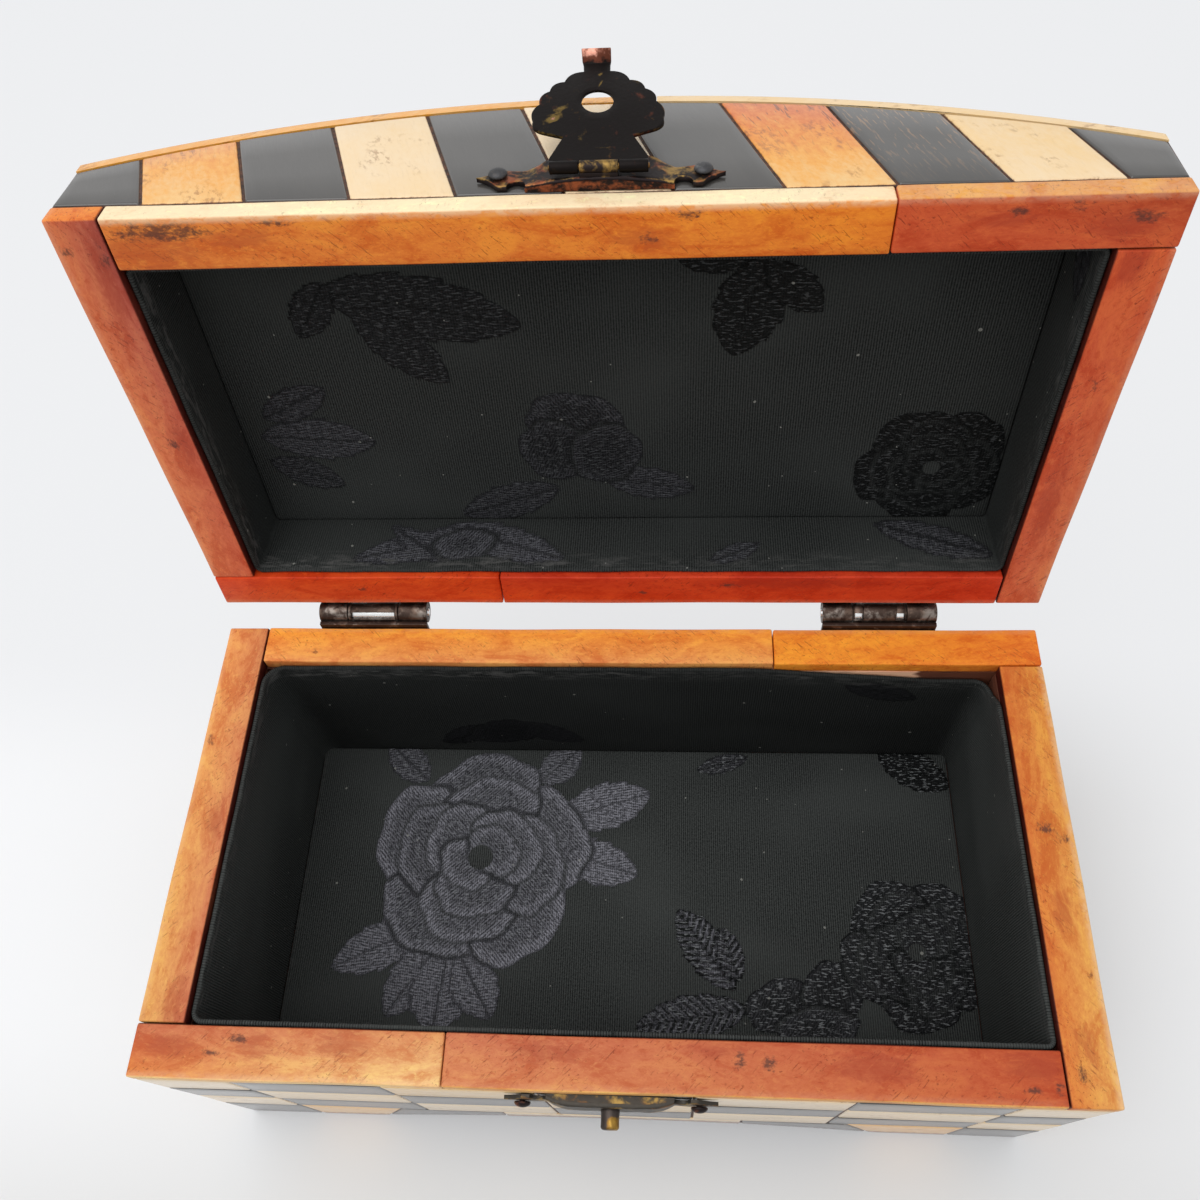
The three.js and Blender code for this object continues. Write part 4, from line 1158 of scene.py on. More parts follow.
# each strip lies along x at the front and back, and along y at the sides
def layRims():
    for number, node in enumerate(rimTones):
        low, high = shutBox(node)
        body, _, side = node.split("_")[:3]
        along = 0 if side in ("front", "back") else 1
        outer = low[1 - along] if side in ("front", "left") else high[1 - along]
        seed = 137.0 * number
        patch = stripPatch(low, high, along, rimMarks(node, along, outer, low, high, seed), seed)
        addPiece(node + "_strip", body, finishes["rim"], [patch], [node])


layRims()
print("rims laid")

# Damask lining: roses and leaves are painted over one another on flat cloth, in millimetres


# places on the cloth, with nothing painted yet
def blankCloth(across, along):
    zero, way = np.zeros(across.shape), np.zeros(across.shape + (3,))
    return {"x": across, "y": along, "motif": zero, "groove": zero, "hatch": way}


# laid over what is there by its cover, from 0 to 1
def overlay(cloth, cover, groove, angle, sheenLift):
    way = np.stack([np.cos(angle) + 0 * cover, np.sin(angle) + 0 * cover, sheenLift + 0 * cover], -1)
    cloth["groove"] = cloth["groove"] * (1 - cover) + groove * cover
    cloth["hatch"] = cloth["hatch"] * (1 - cover[..., None]) + way * cover[..., None]
    cloth["motif"] = np.maximum(cloth["motif"], cover)


# an oval petal: distance in from its wavy edge gives its cover, a gap where it lies on another,
# and a brighter band of painted sheen near its edge
def paintPetal(cloth, centre, radii, turn, angle, sheenLift):
    dx, dy = cloth["x"] - centre[0], cloth["y"] - centre[1]
    c, s = math.cos(turn), math.sin(turn)
    a, b = (c * dx + s * dy) / radii[0], (c * dy - s * dx) / radii[1]
    around = np.arctan2(b, a)
    wave = 1 + 0.035 * np.sin(5 * around + 3 * turn) + 0.02 * np.sin(9 * around - turn)
    depth = (wave - np.hypot(a, b)) * min(radii)
    light = sheenLift * (0.55 + 0.45 * smoothstep(depth, 3.6, 1.6))
    gap = smoothstep(depth, 1.2, 0.4) * cloth["motif"]
    overlay(cloth, smoothstep(depth, -0.25, 0.25), gap, angle, light)


# each ring's petals, how far out they lie and how large they are, as shares of the rose
rose = {"rings": [(5, 0.56, 0.5), (4, 0.4, 0.44), (3, 0.25, 0.36), (2, 0.14, 0.26)], "eye": 0.12}


# rings of petals from the outside in, each turned on from the last so that they wind about a dark eye
def paintRose(cloth, centre, size, turn, sheenLift):
    for number, (count, reach, petal) in enumerate(rose["rings"]):
        for k in range(count):
            angle = turn + 1.1 * number + 2 * math.pi * k / count
            spot = np.add(centre, size * reach * np.array([math.cos(angle), math.sin(angle)]))
            # painted sheen, a little darker on every second petal
            shade = sheenLift * (1 - 0.12 * (k % 2))
            slant = 0.75 if (k + number) % 2 else 2.3
            paintPetal(cloth, spot, (1.1 * petal * size, 0.86 * petal * size), angle + 1.9, slant, shade)
    reach = np.hypot(cloth["x"] - centre[0], cloth["y"] - centre[1]) / (rose["eye"] * size)
    cloth["motif"] = cloth["motif"] * smoothstep(reach, 0.8, 1.1)
    cloth["groove"] = cloth["groove"] * smoothstep(reach, 0.8, 1.1)


# a pointed oval with a saw edge and floats either side of its midrib, level or,
# on barred leaves, slanting off it
def paintLeaf(cloth, stem, tip, width, sheenLift, barred=False):
    run = np.subtract(tip, stem)
    length = math.hypot(*run)
    heading = math.atan2(run[1], run[0])
    c, s = run / length
    share = (c * (cloth["x"] - stem[0]) + s * (cloth["y"] - stem[1])) / length
    side = c * (cloth["y"] - stem[1]) - s * (cloth["x"] - stem[0])
    inside = np.clip(share, 0, 1)
    half = width / 2 * (4 * inside * (1 - inside)) ** 0.75 * (1 + 0.16 * ((inside * 5) % 1))
    depth = half - np.abs(side)
    rib = np.maximum(smoothstep(np.abs(side), 0.5, 0.2) * 0.35, smoothstep(depth, 0.55, 0.1) * 0.15)
    if barred:
        bars = np.sin(2 * math.pi / 1.9 * (share * length - 0.8 * np.abs(side)))
        sheenLift = sheenLift * smoothstep(bars, 0.4, -0.3)
    way = heading + np.sign(side) * 0.9 if barred else 0.15 * np.sign(side)
    overlay(cloth, smoothstep(depth, -0.1, 0.3) * (depth > -0.1), rib, way, sheenLift)


# leaves by stem, tip, width and painted sheen; petals by middle, half sizes, turn and painted sheen;
# roses by middle, size, turn and painted sheen
motifs = {
    "base_floor_lining": {
        "leaves": [
            ((-24, 80), (-13, 90), 9, 0.6), ((-18, 70), (6, 77.5), 12, 0.9), ((-18, 62), (3, 55.5), 11, 0.9),
            ((-54, 80), (-66, 91), 9, 0.5), ((-50, 42), (-73, 31), 11, 0.8), ((-46, 38), (-58, 20), 11, 0.7),
            ((-44, 36), (-46, 16), 14, 0.75), ((-41, 35), (-32, 20), 11, 0.75),
            ((84, 80), (66, 90), 10, 0.0), ((32, 88), (18, 84), 5, 0.2),
        ],
        "barred": [
            ((27, 28), (13, 47), 10, 0.55), ((30, 24), (3, 19), 10, 0.5), ((28, 30), (24, 43), 6, 0.5),
        ],
        "petals": [
            ((38, 25), (9, 6), 0.3, 0.12), ((50, 28), (8, 7), 0.9, 0.08), ((46, 20), (10, 5), 0.1, 0.15),
        ],
        "roses": [((-38, 59.5), 28.5, 0.35, 1.0), ((71, 38), 18.5, 1.0, 0.07)],
    },
    "lid_ceiling_lining": {
        "leaves": [
            ((-4, 76), (17, 80), 9, 0.26), ((-14, 79), (-38, 88), 10, 0.22), ((-80, 63), (-54, 65), 11, 0.3),
            ((-78, 58), (-62, 50), 8, 0.22), ((-80, 70), (-64, 78), 8, 0.2), ((30, 20), (24, 43), 13, 0.0),
            ((30, 22), (41, 33), 8, 0.0), ((27, 21), (13, 21), 6, 0.0), ((-58, 26), (-18, 35), 14, 0.06),
            ((-52, 30), (-35, 49), 10, 0.06), ((-56, 24), (-64, 37), 8, 0.06),
        ],
        "petals": [
            ((-9, 60), (11, 8), 0.2, 0.2), ((-14, 68), (9, 8), 1.2, 0.17), ((-3, 69), (9, 8), 2.0, 0.18),
        ],
        "roses": [((69, 74), 17, 0.5, 0.0)],
    },
    "base_wall_lining": {
        "leaves": [
            ((-30, 42), (-12, 30), 9, 0.1), ((-34, 40), (-50, 28), 9, 0.1), ((52, 66), (70, 58), 8, 0.12),
        ],
        "petals": [((-32, 36), (10, 7), 0.4, 0.08)],
        "roses": [],
    },
    "lid_wall_lining": {
        "leaves": [
            ((-30, 88), (-63, 79), 9, 0.5), ((-42, 90), (-13, 79), 10, 0.5), ((32, 84), (20, 78), 5, 0.3),
            ((58, 90), (84, 80), 9, 0.3), ((-40, 78), (-55, 90), 6, 0.45), ((150, 82), (170, 88), 8, 0.2),
        ],
        "petals": [((-37, 84), (8, 5), 0.2, 0.5)],
        "roses": [],
    },
}


# leaves first, then petals, then roses over them
def paintCloth(node, across, along):
    cloth = blankCloth(across, along)
    pattern = motifs[node]
    for stem, tip, width, sheenLift in pattern["leaves"]:
        paintLeaf(cloth, stem, tip, width, sheenLift)
    for stem, tip, width, sheenLift in pattern.get("barred", []):
        paintLeaf(cloth, stem, tip, width, sheenLift, True)
    for centre, radii, turn, sheenLift in pattern["petals"]:
        paintPetal(cloth, centre, radii, turn, turn + 0.8, sheenLift)
    for centre, size, turn, sheenLift in pattern["roses"]:
        paintRose(cloth, centre, size, turn, sheenLift)
    weave = np.stack([across, along, 0 * across], -1)
    return {"weave": weave, "hatch": cloth["hatch"], "motif": cloth["motif"], "groove": cloth["groove"]}


lining = {
    "step": 0.5 * mm,  # mesh size of the flat panels
    "wallStep": 0.75 * mm,
    "thick": 1.0 * mm,
    "baseCorners": (4.0 * mm, 1.8 * mm, 2.6 * mm, 5.0 * mm),  # from the back right, clockwise
    "lidCorners": (1.8 * mm, 1.8 * mm, 1.8 * mm, 1.8 * mm),
    "panelCorner": 1.25 * mm,
    "panelEase": 0.45 * mm,
    "raised": 0.1 * mm,  # satin above the ground
    "pucker": 0.22 * mm,
    "dip": 5.2 * mm,  # where the lining stops short at the back right
    "dipRun": (30, 72),  # millimetres from the middle of the back, where it starts and is full
    "dipEnd": (93, 86),
    "uneven": 0.15 * mm,  # how the fold strays
    "frayed": 6 * mm,  # how far below the fold the cloth is rubbed
    "rubbed": (0.2 * mm, 1.4 * mm),  # where that sets in
    "bareSide": (10, -30),  # it is strongest left of the back's middle
    "turnsSide": (78, 92),  # millimetres from the middle of the back to the sides
    "flatEdge": (6 * mm, 3 * mm),  # the cloth doesn't swell this near its fold and its foot
    "crush": 0.35,  # small creases under the fold
    "crushed": (9 * mm, 1.5 * mm),
    "sunk": 0.1 * mm,  # a panel's underside, out from the board
    "seamGlue": 0.5,  # dried glue along the floor's left seam
    "seamWidth": (1.4 * mm, 0.5 * mm),
    # dust and painted light on the cloth at the back, and at the sides
    "dust": {
        "base_floor_lining": (0.72, 0.72),
        "base_wall_lining": (0.0, 0.95),
        "lid_ceiling_lining": (0.3, 0.3),
        "lid_wall_lining": (0.42, 0.3),
    },
}


# gentle swells of the cloth: a few crossing sine waves
def swell(x, y):
    waves = [(0.09, 0.03, 0.4), (-0.05, 0.11, 1.9), (0.17, -0.13, 3.1), (0.02, 0.31, 5.0)]
    return sum(np.sin(a * x + b * y + c) for a, b, c in waves) / len(waves)


# a square corner drawn in to a round one: each side shrinks by half the square of the other
def roundCorners(x, y, halfX, halfY, radius):
    overX = np.clip((np.abs(x) - (halfX - radius)) / radius, 0, 1)
    overY = np.clip((np.abs(y) - (halfY - radius)) / radius, 0, 1)
    newX = np.sign(x) * (halfX - radius + radius * overX * np.sqrt(1 - overY**2 / 2))
    newY = np.sign(y) * (halfY - radius + radius * overY * np.sqrt(1 - overX**2 / 2))
    both = (overX > 0) & (overY > 0)
    return np.where(both, newX, x), np.where(both, newY, y)


# a flat panel: grid over its rectangle, swelling a little, edges rolled under
def layPanel(node, body, facing, seam):
    low, high = shutBox(node)
    halfX, halfY = (high[:2] - low[:2]) / 2
    middle = (low + high) / 2
    counts = [int(2 * half / lining["step"]) for half in (halfX, halfY)]
    a, b, fall, ring = easedGrid(2 * halfX, 2 * halfY, lining["panelEase"], counts)
    x, y = (a - 0.5) * 2 * halfX, (b - 0.5) * 2 * halfY
    x, y = roundCorners(x, y, halfX, halfY, lining["panelCorner"])
    marks = paintCloth(node, x / mm, (y + middle[1] - boxFront) / mm)
    marks["fuzz"] = seam * smoothstep(x + halfX, *lining["seamWidth"])
    marks["dust"] = lining["dust"][node][0]
    relief = lining["raised"] * marks["motif"] * (1 - 0.8 * marks["groove"])
    h = lining["thick"] - fall + relief + 0.5 * lining["pucker"] * swell(x / mm, y / mm)
    h = np.where(ring, lining["sunk"], h)
    back = low[2] if facing > 0 else high[2]
    patch = slabPatch(np.stack([x, y + middle[1], back + facing * h], -1), marks)
    panel = addPiece(node + "_cloth", body, finishes["damask"], [patch], [node])
    2 * halfX
    2 * halfY


# a closed oblong from the middle of its back, clockwise from above: points, inward normals and run
def ringPath(halfX, halfY, radii, step):
    signs = [(1, 1), (1, -1), (-1, -1), (-1, 1)]
    begin = np.array([0.0, halfY])
    last, points, angles = begin, [], []
    for k, ((signX, signY), radius) in enumerate(zip(signs, radii)):
        start = math.pi / 2 - k * math.pi / 2
        bend = start - np.linspace(0, math.pi / 2, 9)
        arc = np.stack([np.cos(bend), np.sin(bend)], -1) * radius
        arc = arc + np.array([signX * (halfX - radius), signY * (halfY - radius)])
        count = int(np.linalg.norm(arc[0] - last) / step)
        points += [last + (arc[0] - last) * np.linspace(0, 1, count, endpoint=False)[:, None], arc[:-1]]
        angles += [np.full(count, start), bend[:-1]]
        last = arc[-1]
    count = int(np.linalg.norm(begin - last) / step)
    points.append(last + (begin - last) * np.linspace(0, 1, count, endpoint=False)[:, None])
    angles.append(np.full(count, math.pi / 2))
    points, angles = np.concatenate(points), np.concatenate(angles)
    steps = np.linalg.norm(np.diff(points, axis=0, append=points[:1]), axis=1)
    run = np.concatenate([[0.0], np.cumsum(steps)[:-1]])
    inward = -np.stack([np.cos(angles), np.sin(angles)], -1)
    return points, inward, run, steps.sum()


# a band of cloth carried round the ring: outer side, folded edge, inner side
def layWall(node, body, fold, corners, dip):
    low, high = shutBox(node)
    halfX, halfY = (high[:2] - low[:2]) / 2
    middle = (low + high) / 2
    path, inward, run, total = ringPath(halfX, halfY, corners, lining["wallStep"])
    foldZ = high[2] if fold > 0 else low[2]
    tall, thick = high[2] - low[2], lining["thick"]
    inner = np.linspace(0, 1, int(tall / lining["wallStep"]))
    arc = np.linspace(0, math.pi, 9)[1:-1]
    offset = np.concatenate([[0, 0, 0], thick / 2 * (1 - np.cos(arc)), np.full(len(inner), thick)])
    face = thick / 2 + inner * (tall - thick / 2)
    drop = np.concatenate([[tall, tall / 2, thick / 2], thick / 2 * (1 - np.sin(arc)), face])
    reach = np.where(run > total / 2, run - total, run)[:, None] / mm
    begins, full = lining["dipRun"]
    short = dip * np.clip((reach - begins) / (full - begins), 0, 1) * smoothstep(reach, *lining["dipEnd"])
    short = short + lining["uneven"] * (1 + np.sin(reach * 0.23) * np.sin(reach * 0.071 + 1))
    z = foldZ - fold * (short + drop * (tall - short) / tall)
    marks = paintCloth(node, reach + 0 * z, z / mm)
    deep = lining["frayed"]
    frayed = 0.12 + smoothstep(drop, *lining["rubbed"]) * smoothstep(drop, deep, 0.2 * deep)
    marks["fuzz"] = frayed * (0.7 + 0.7 * smoothstep(reach, *lining["bareSide"])) * (drop < deep)
    # dust and painted light: lighter towards the sides than at the back
    atBack, atSides = lining["dust"][node]
    marks["dust"] = atBack + (atSides - atBack) * smoothstep(np.abs(reach), *lining["turnsSide"])
    nearFold, nearFoot = lining["flatEdge"]
    soft = swell(reach, z / mm) * smoothstep(drop, 0, nearFold) * smoothstep(tall - drop, 0, nearFoot)
    crush = lining["crush"] * np.sin(reach * 0.9 + 2 * np.sin(reach * 0.13))
    crush = crush * smoothstep(drop, *lining["crushed"])
    relief = lining["pucker"] * (soft + crush) + lining["raised"] * marks["motif"]
    inset = offset + (offset >= thick) * relief
    flat = path[:, None, :] + inset[..., None] * inward[:, None, :] + middle[None, None, :2]
    points = np.concatenate([flat, z[..., None]], -1)
    patch = gridPatch(points, closeU=True, closeV=True, marks=marks)
    wall = addPiece(node + "_cloth", body, finishes["damask"], [patch], [node])


layPanel("base_floor_lining", "base", 1, lining["seamGlue"])
layPanel("lid_ceiling_lining", "lid", -1, 0.0)
layWall("base_wall_lining", "base", 1, lining["baseCorners"], lining["dip"])
layWall("lid_wall_lining", "lid", -1, lining["lidCorners"], 0.0)
print("lining laid")

# Hasp and keeper: pressed plates with cusped ends, in millimetres from the plate's straight edge
plates = {
    "notch": (14.0, 1.6, 1.9),  # its middle, half width and depth
    "foot": (17.2, 0.0),
    "tip": (21.0, 3.2),
    "lobe": (17.0, 6.2),
    "waist": (12.6, 5.4),
    "top": (9.2, 8.0),
    "hollow": 0.45,  # how far the curved edges draw in
    "thick": 0.8,
    "glue": 0.25,
    "bulge": 1.2,
    "bulgeHalf": 12.5,
    "ease": 0.2,
    "hammer": 0.07,  # unevenness of the pressed sheet
    "thinnest": 0.12,  # height left at the tips
    "lip": 0.7,  # the straight edge, turned in to the face
    "lipRoot": 0.1,
    "lipWear": 0.42,
    "keeperPower": 6,  # the keeper is pressed out flat, the hasp in an arc
}


# low and high edge of the plate at each station along its length
def plateEdges():
    middle, half, depth = plates["notch"]
    scoop = middle - half * np.cos(np.linspace(0, math.pi, 15))
    foot, hollow = plates["foot"][0], plates["hollow"]
    stations = [np.linspace(0, middle - half, 14), scoop[1:-1], np.linspace(middle + half, foot, 4)]
    x = np.concatenate([*stations, np.linspace(foot, plates["tip"][0], 14)[1:]])
    under = np.concatenate([bowed(plates["foot"], plates["tip"], hollow, 12), [plates["tip"]]])
    low = depth * np.sqrt(np.maximum(1 - ((x - middle) / half) ** 2, 0))
    low = np.where(x > foot, np.interp(x, under[:, 0], under[:, 1]), low)
    runs = [("top", "waist"), ("waist", "lobe"), ("lobe", "tip")]
    over = [bowed(plates[a], plates[b], -hollow, 12) for a, b in runs]
    over = np.concatenate([*over, [plates["tip"]]])
    high = np.maximum(np.interp(x, over[:, 0], over[:, 1]), low + plates["thinnest"])
    return [np.concatenate([sign * row[:0:-1], row]) for sign, row in ((-1, x), (1, low), (1, high))]


# how far the sheet is pressed out: a parabola along the plate, or a flatter curve by a higher power
def pressedOut(x, power):
    return plates["bulge"] * np.maximum(1 - np.abs(x / plates["bulgeHalf"]) ** power, 0)


# a thin rounded loop carried along x, between the two edges and out over the bulge
def platePatch(edge, direction, face, rubbed, power=2):
    x, low, high = plateEdges()
    ease, thick = plates["ease"], plates["thick"]
    share = np.array([0, 0, 0, 0.12, 0.3, 0.5, 0.7, 0.88, 1, 1, 1])
    pull = np.array([0, 0, ease, 0, 0, 0, 0, 0, -ease, 0, 0])
    out = np.array([0, thick - ease] + [thick] * 7 + [thick - ease, 0])
    tall = (high - low)[:, None]
    rise = low[:, None] + share * tall + pull * np.minimum(1, tall / 1.2)
    dent = plates["hammer"] * np.sin(x[:, None] * 1.1 + rise * 0.7) * np.sin(rise * 1.3 - x[:, None] * 0.4)
    y = face - (plates["glue"] + pressedOut(x, power)[:, None] + out + dent * (out >= thick)) * mm
    points = np.stack([np.broadcast_to(x[:, None] * mm, y.shape), y, edge + direction * rise * mm], -1)
    rim = np.minimum(share * tall, (1 - share) * tall)
    flank = np.array([1, 0.6, 0, 0, 0, 0, 0, 0, 0, 0.6, 1])
    wear = rubbed * (0.6 + 0.5 * smoothstep(np.abs(x), 6, 11))[:, None]
    wear = wear + 0.16 * smoothstep(rim, 0.5, 0.0) - 0.5 * flank
    return gridPatch(points, closeV=True, capU=True, marks={"wear": wear, "gilt": 0.0})


# the straight edge turned in to the face: a flat loop from the face out to the pressed sheet;
# on the hasp it is set low and copper, a painted shadow under the plate's arch
def lipPatch(edge, direction, face, gilt, recess=0.05, power=2):
    x = np.linspace(-plates["bulgeHalf"], plates["bulgeHalf"], 41)[:, None]
    reach = (plates["glue"] + pressedOut(x, power) + 0.5 * plates["thick"]) * mm
    root = np.full(reach.shape, plates["lipRoot"] * mm)
    y = face - np.concatenate([root, reach / 2, reach, reach, reach / 2, root], 1)
    sink = np.array([0, 0.06, 0.03] + 3 * [plates["lip"]]) + 0.05 * np.sin(x * 0.9)
    points = np.stack([np.broadcast_to(x * mm, y.shape), y, edge + direction * (sink + recess) * mm], -1)
    return gridPatch(points, closeV=True, capU=True, marks={"wear": plates["lipWear"], "gilt": gilt})


# the same wear, and the same share of gold, all over
def flatWear(level, gilt=0.0):
    return lambda points: {"wear": level, "gilt": gilt}


# half a flattened ball on a short edge, with a shank behind it
def nailProfile(radius, height, shank):
    angle = np.linspace(0, math.pi / 2, 7)
    dome = [(radius * math.cos(t), 0.16 * height + 0.84 * height * math.sin(t)) for t in angle]
    return [(0, -shank), (0.35 * radius, -shank), (0.35 * radius, 0), (0.94 * radius, 0), *dome]


nails = {"headHeight": 1.1 * mm, "shank": 1.2 * mm, "wear": 0.36}


# the nail's profile, spun about y and seated on the plate
def fitNail(node, body, finish):
    low, high = shutBox(node)
    seat = np.array([(low[0] + high[0]) / 2, low[1] + nails["headHeight"], (low[2] + high[2]) / 2])
    profile = nailProfile((high[0] - low[0]) / 2, nails["headHeight"], nails["shank"])
    patch = turnedPatch(profile, seat, (0, -1, 0), 24, flatWear(nails["wear"]))
    addPiece(node + "_head", body, finishes[finish], [patch], [node])


# a tube along x: out over one end, along the outside, back through the bore
def tubeProfile(radius, bore, length, ease):
    near = [(radius - ease, 0), (radius - 0.3 * ease, 0.3 * ease), (radius, ease)]
    far = [(reach, length - place) for reach, place in near[::-1]]
    return [(bore, 0), *near, (radius, length / 2), *far, (bore, length)]


tubeEase = 0.12 * mm


# the tube's profile spun about x, with its bore closed from end to end
def tubePatch(radius, bore, start, end, centre, marks, facets=28):
    profile = tubeProfile(radius, bore, end - start, tubeEase)
    patch = turnedPatch(profile, np.array([start, centre[1], centre[2]]), (1, 0, 0), facets, marks)
    count = len(profile)
    first = np.arange(facets) * count
    last = first + count - 1
    inside = np.stack([last, np.roll(last, -1), np.roll(first, -1), first], -1)
    patch["quads"] = np.concatenate([patch["quads"], inside])
    return patch


hasp = {
    "knuckle": 1.05 * mm,
    "bore": 0.65 * mm,
    "tongueHalf": 3.2 * mm,
    "knuckleHalf": 8.2 * mm,
    "gapHalf": 3.4 * mm,
    "edgeBelowPivot": 1.2 * mm,
    "web": (-0.9 * mm, 0.3 * mm),  # its underside and top, from the pivot
    "webEase": 0.1 * mm,
    "webSunk": 0.5 * mm,  # into the plate
    "pinProud": 0.25 * mm,
    "pinGap": 0.15 * mm,
    "pinEase": 0.2 * mm,
    "plateWear": 0.36,
    "lipGilt": -0.8,
    "lipRecess": -0.3,
    "tongueWear": (0.42, 1.0),
    "webWear": 0.3,
    "rollWear": 0.1,
    "pinWear": 0.7,
}
flapShape = {
    "hole": 15.0,  # pivot to the middle of the hole
    "holeRadius": 2.75,
    "root": 0.2,
    "flare": (8.3, 1.7),
    "neck": (5.9, 6.8),
    "shoulder": (9.5, 8.1),
    "scallops": [(11.1, 11.0), (10.0, 15.0), (8.3, 18.1), (5.7, 20.3), (2.45, 22.8)],
    "bow": 0.75,
    "thick": 0.7,
    "dish": 0.35,
    "lean": -0.045,  # the worn flap hangs askew: sideways run for each unit of height
    "bend": 25.6,
    "bendRadius": 0.8,
    "tabOverlap": 0.6,  # how far the tab runs down into the shell
    "tabEase": 0.2,
    "tabHalf": (2.3, 2.6),  # at its root and at its end
    "tabLength": 2.5,
    "tabAngle": 50.0,
    # rubbed spots on the inner side: place and half sizes
    "spots": [
        (-6.7, 13.0, 0.9, 1.6), (-7.9, 10.6, 0.8, 1.1), (0.3, 21.6, 0.35, 0.4), (0.6, 19.3, 0.3, 0.9),
        (0.4, 6.3, 0.5, 0.5),
    ],
}


# the flap's right half outline from the root's middle up to the tab's root
def flapOutline():
    shape = flapShape
    root = shape["root"]
    corners = [(0.0, root), (4.0, root), (shape["flare"][0], root)]
    corners += [shape["flare"], shape["neck"], shape["shoulder"]]
    points = [bowed(a, b, 0.0, 5) for a, b in zip(corners, corners[1:])]
    rim = [shape["shoulder"], *shape["scallops"]]
    points += [bowed(a, b, -shape["bow"], 9) for a, b in zip(rim, rim[1:])]
    top = (0.0, shape["scallops"][-1][1])
    points += [bowed(rim[-1], top, 0.0, 4), [top]]
    return np.concatenate(points)


# rings from the hole out to the outline, over the outer side, round the edge and back over the inner side
def flapPatch():
    shape = flapShape
    half = flapOutline()
    rim = np.concatenate([half, half[-2:0:-1] * [-1, 1]])
    middle = np.array([0.0, shape["hole"]])
    away = rim - middle
    hole = middle + shape["holeRadius"] * away / np.linalg.norm(away, axis=1)[:, None]
    t = shape["thick"] / 2
    share = np.array([0, 0.03, 0.15, 0.35, 0.6, 0.8, 0.94, 0.985, 1])
    share = np.concatenate([share, share[::-1]])
    side = np.array([0.6, 1, 1, 1, 1, 1, 1, 1, 0.55])
    side = np.concatenate([side, -side[::-1]])
    flat = hole[:, None] + share[None, :, None] * (rim - hole)[:, None]
    reach = np.linalg.norm(flat - middle, axis=-1)
    dish = shape["dish"] * smoothstep(reach, 11, 3) * smoothstep(flat[..., 1], 4, 8)
    wear = 0.15 + 0.3 * smoothstep(share, 0.97, 1.0) + 0 * reach
    gilt = 0 * reach
    for x, z, halfX, halfZ in shape["spots"]:
        over = flat[..., 1] - z
        spot = np.hypot((flat[..., 0] - x - 0.3 * over) / halfX, over / halfZ)
        wear = wear + 0.7 * smoothstep(spot, 1.3, 0.6) * (side < 0)
        gilt = np.maximum(gilt, smoothstep(spot, 1.6, 1.2))
    x, z = flat[..., 0] + shape["lean"] * flat[..., 1], flat[..., 1]
    points = np.stack([x, side * t - dish, z], -1) * mm
    return gridPatch(points, closeU=True, closeV=True, marks={"wear": wear, "gilt": gilt})


# the tab: a thin rounded strip carried up from the shell and round its bend
def tabPatch():
    shape = flapShape
    angle, radius = math.radians(shape["tabAngle"]), shape["bendRadius"]
    start = shape["scallops"][-1][1] - shape["tabOverlap"]
    rise = shape["bend"] - radius
    path = [(0.0, start, 0.0), (0.0, (start + rise) / 2, 0.0)]
    path += [(-radius * (1 - math.cos(a)), rise + radius * math.sin(a), a) for a in np.linspace(0, angle, 7)]
    last = path[-1]
    run = shape["tabLength"] - radius * angle / 2
    for k in (0.5, 0.93, 1):
        path.append((last[0] - k * run * math.sin(angle), last[1] + k * run * math.cos(angle), angle))
    y, z, turn = (np.array(values)[:, None] for values in zip(*path))
    wide = np.interp(np.arange(len(path)), [0, len(path) - 1], shape["tabHalf"])[:, None]
    t, e = shape["thick"] / 2, shape["tabEase"]
    shrink = np.array([1.0] * (len(path) - 1) + [0.7])[:, None]
    loopX = np.array([-1, -1, -0.92, 0, 0.92, 1, 1, 0.92, 0, -0.92])[None, :] * wide * (0.9 + 0.1 * shrink)
    loopN = np.array([-t + e, t - e, t, t, t, t - e, -t + e, -t, -t, -t])[None, :] * shrink
    x = loopX + shape["lean"] * z
    points = np.stack([x, y + loopN * np.cos(turn), z + loopN * np.sin(turn)], -1) * mm
    wear = 0.1 + 0.72 * smoothstep(z, rise - 0.6, rise + 1.6)
    return gridPatch(points, closeV=True, capU=True, marks={"wear": wear, "gilt": -1.0})


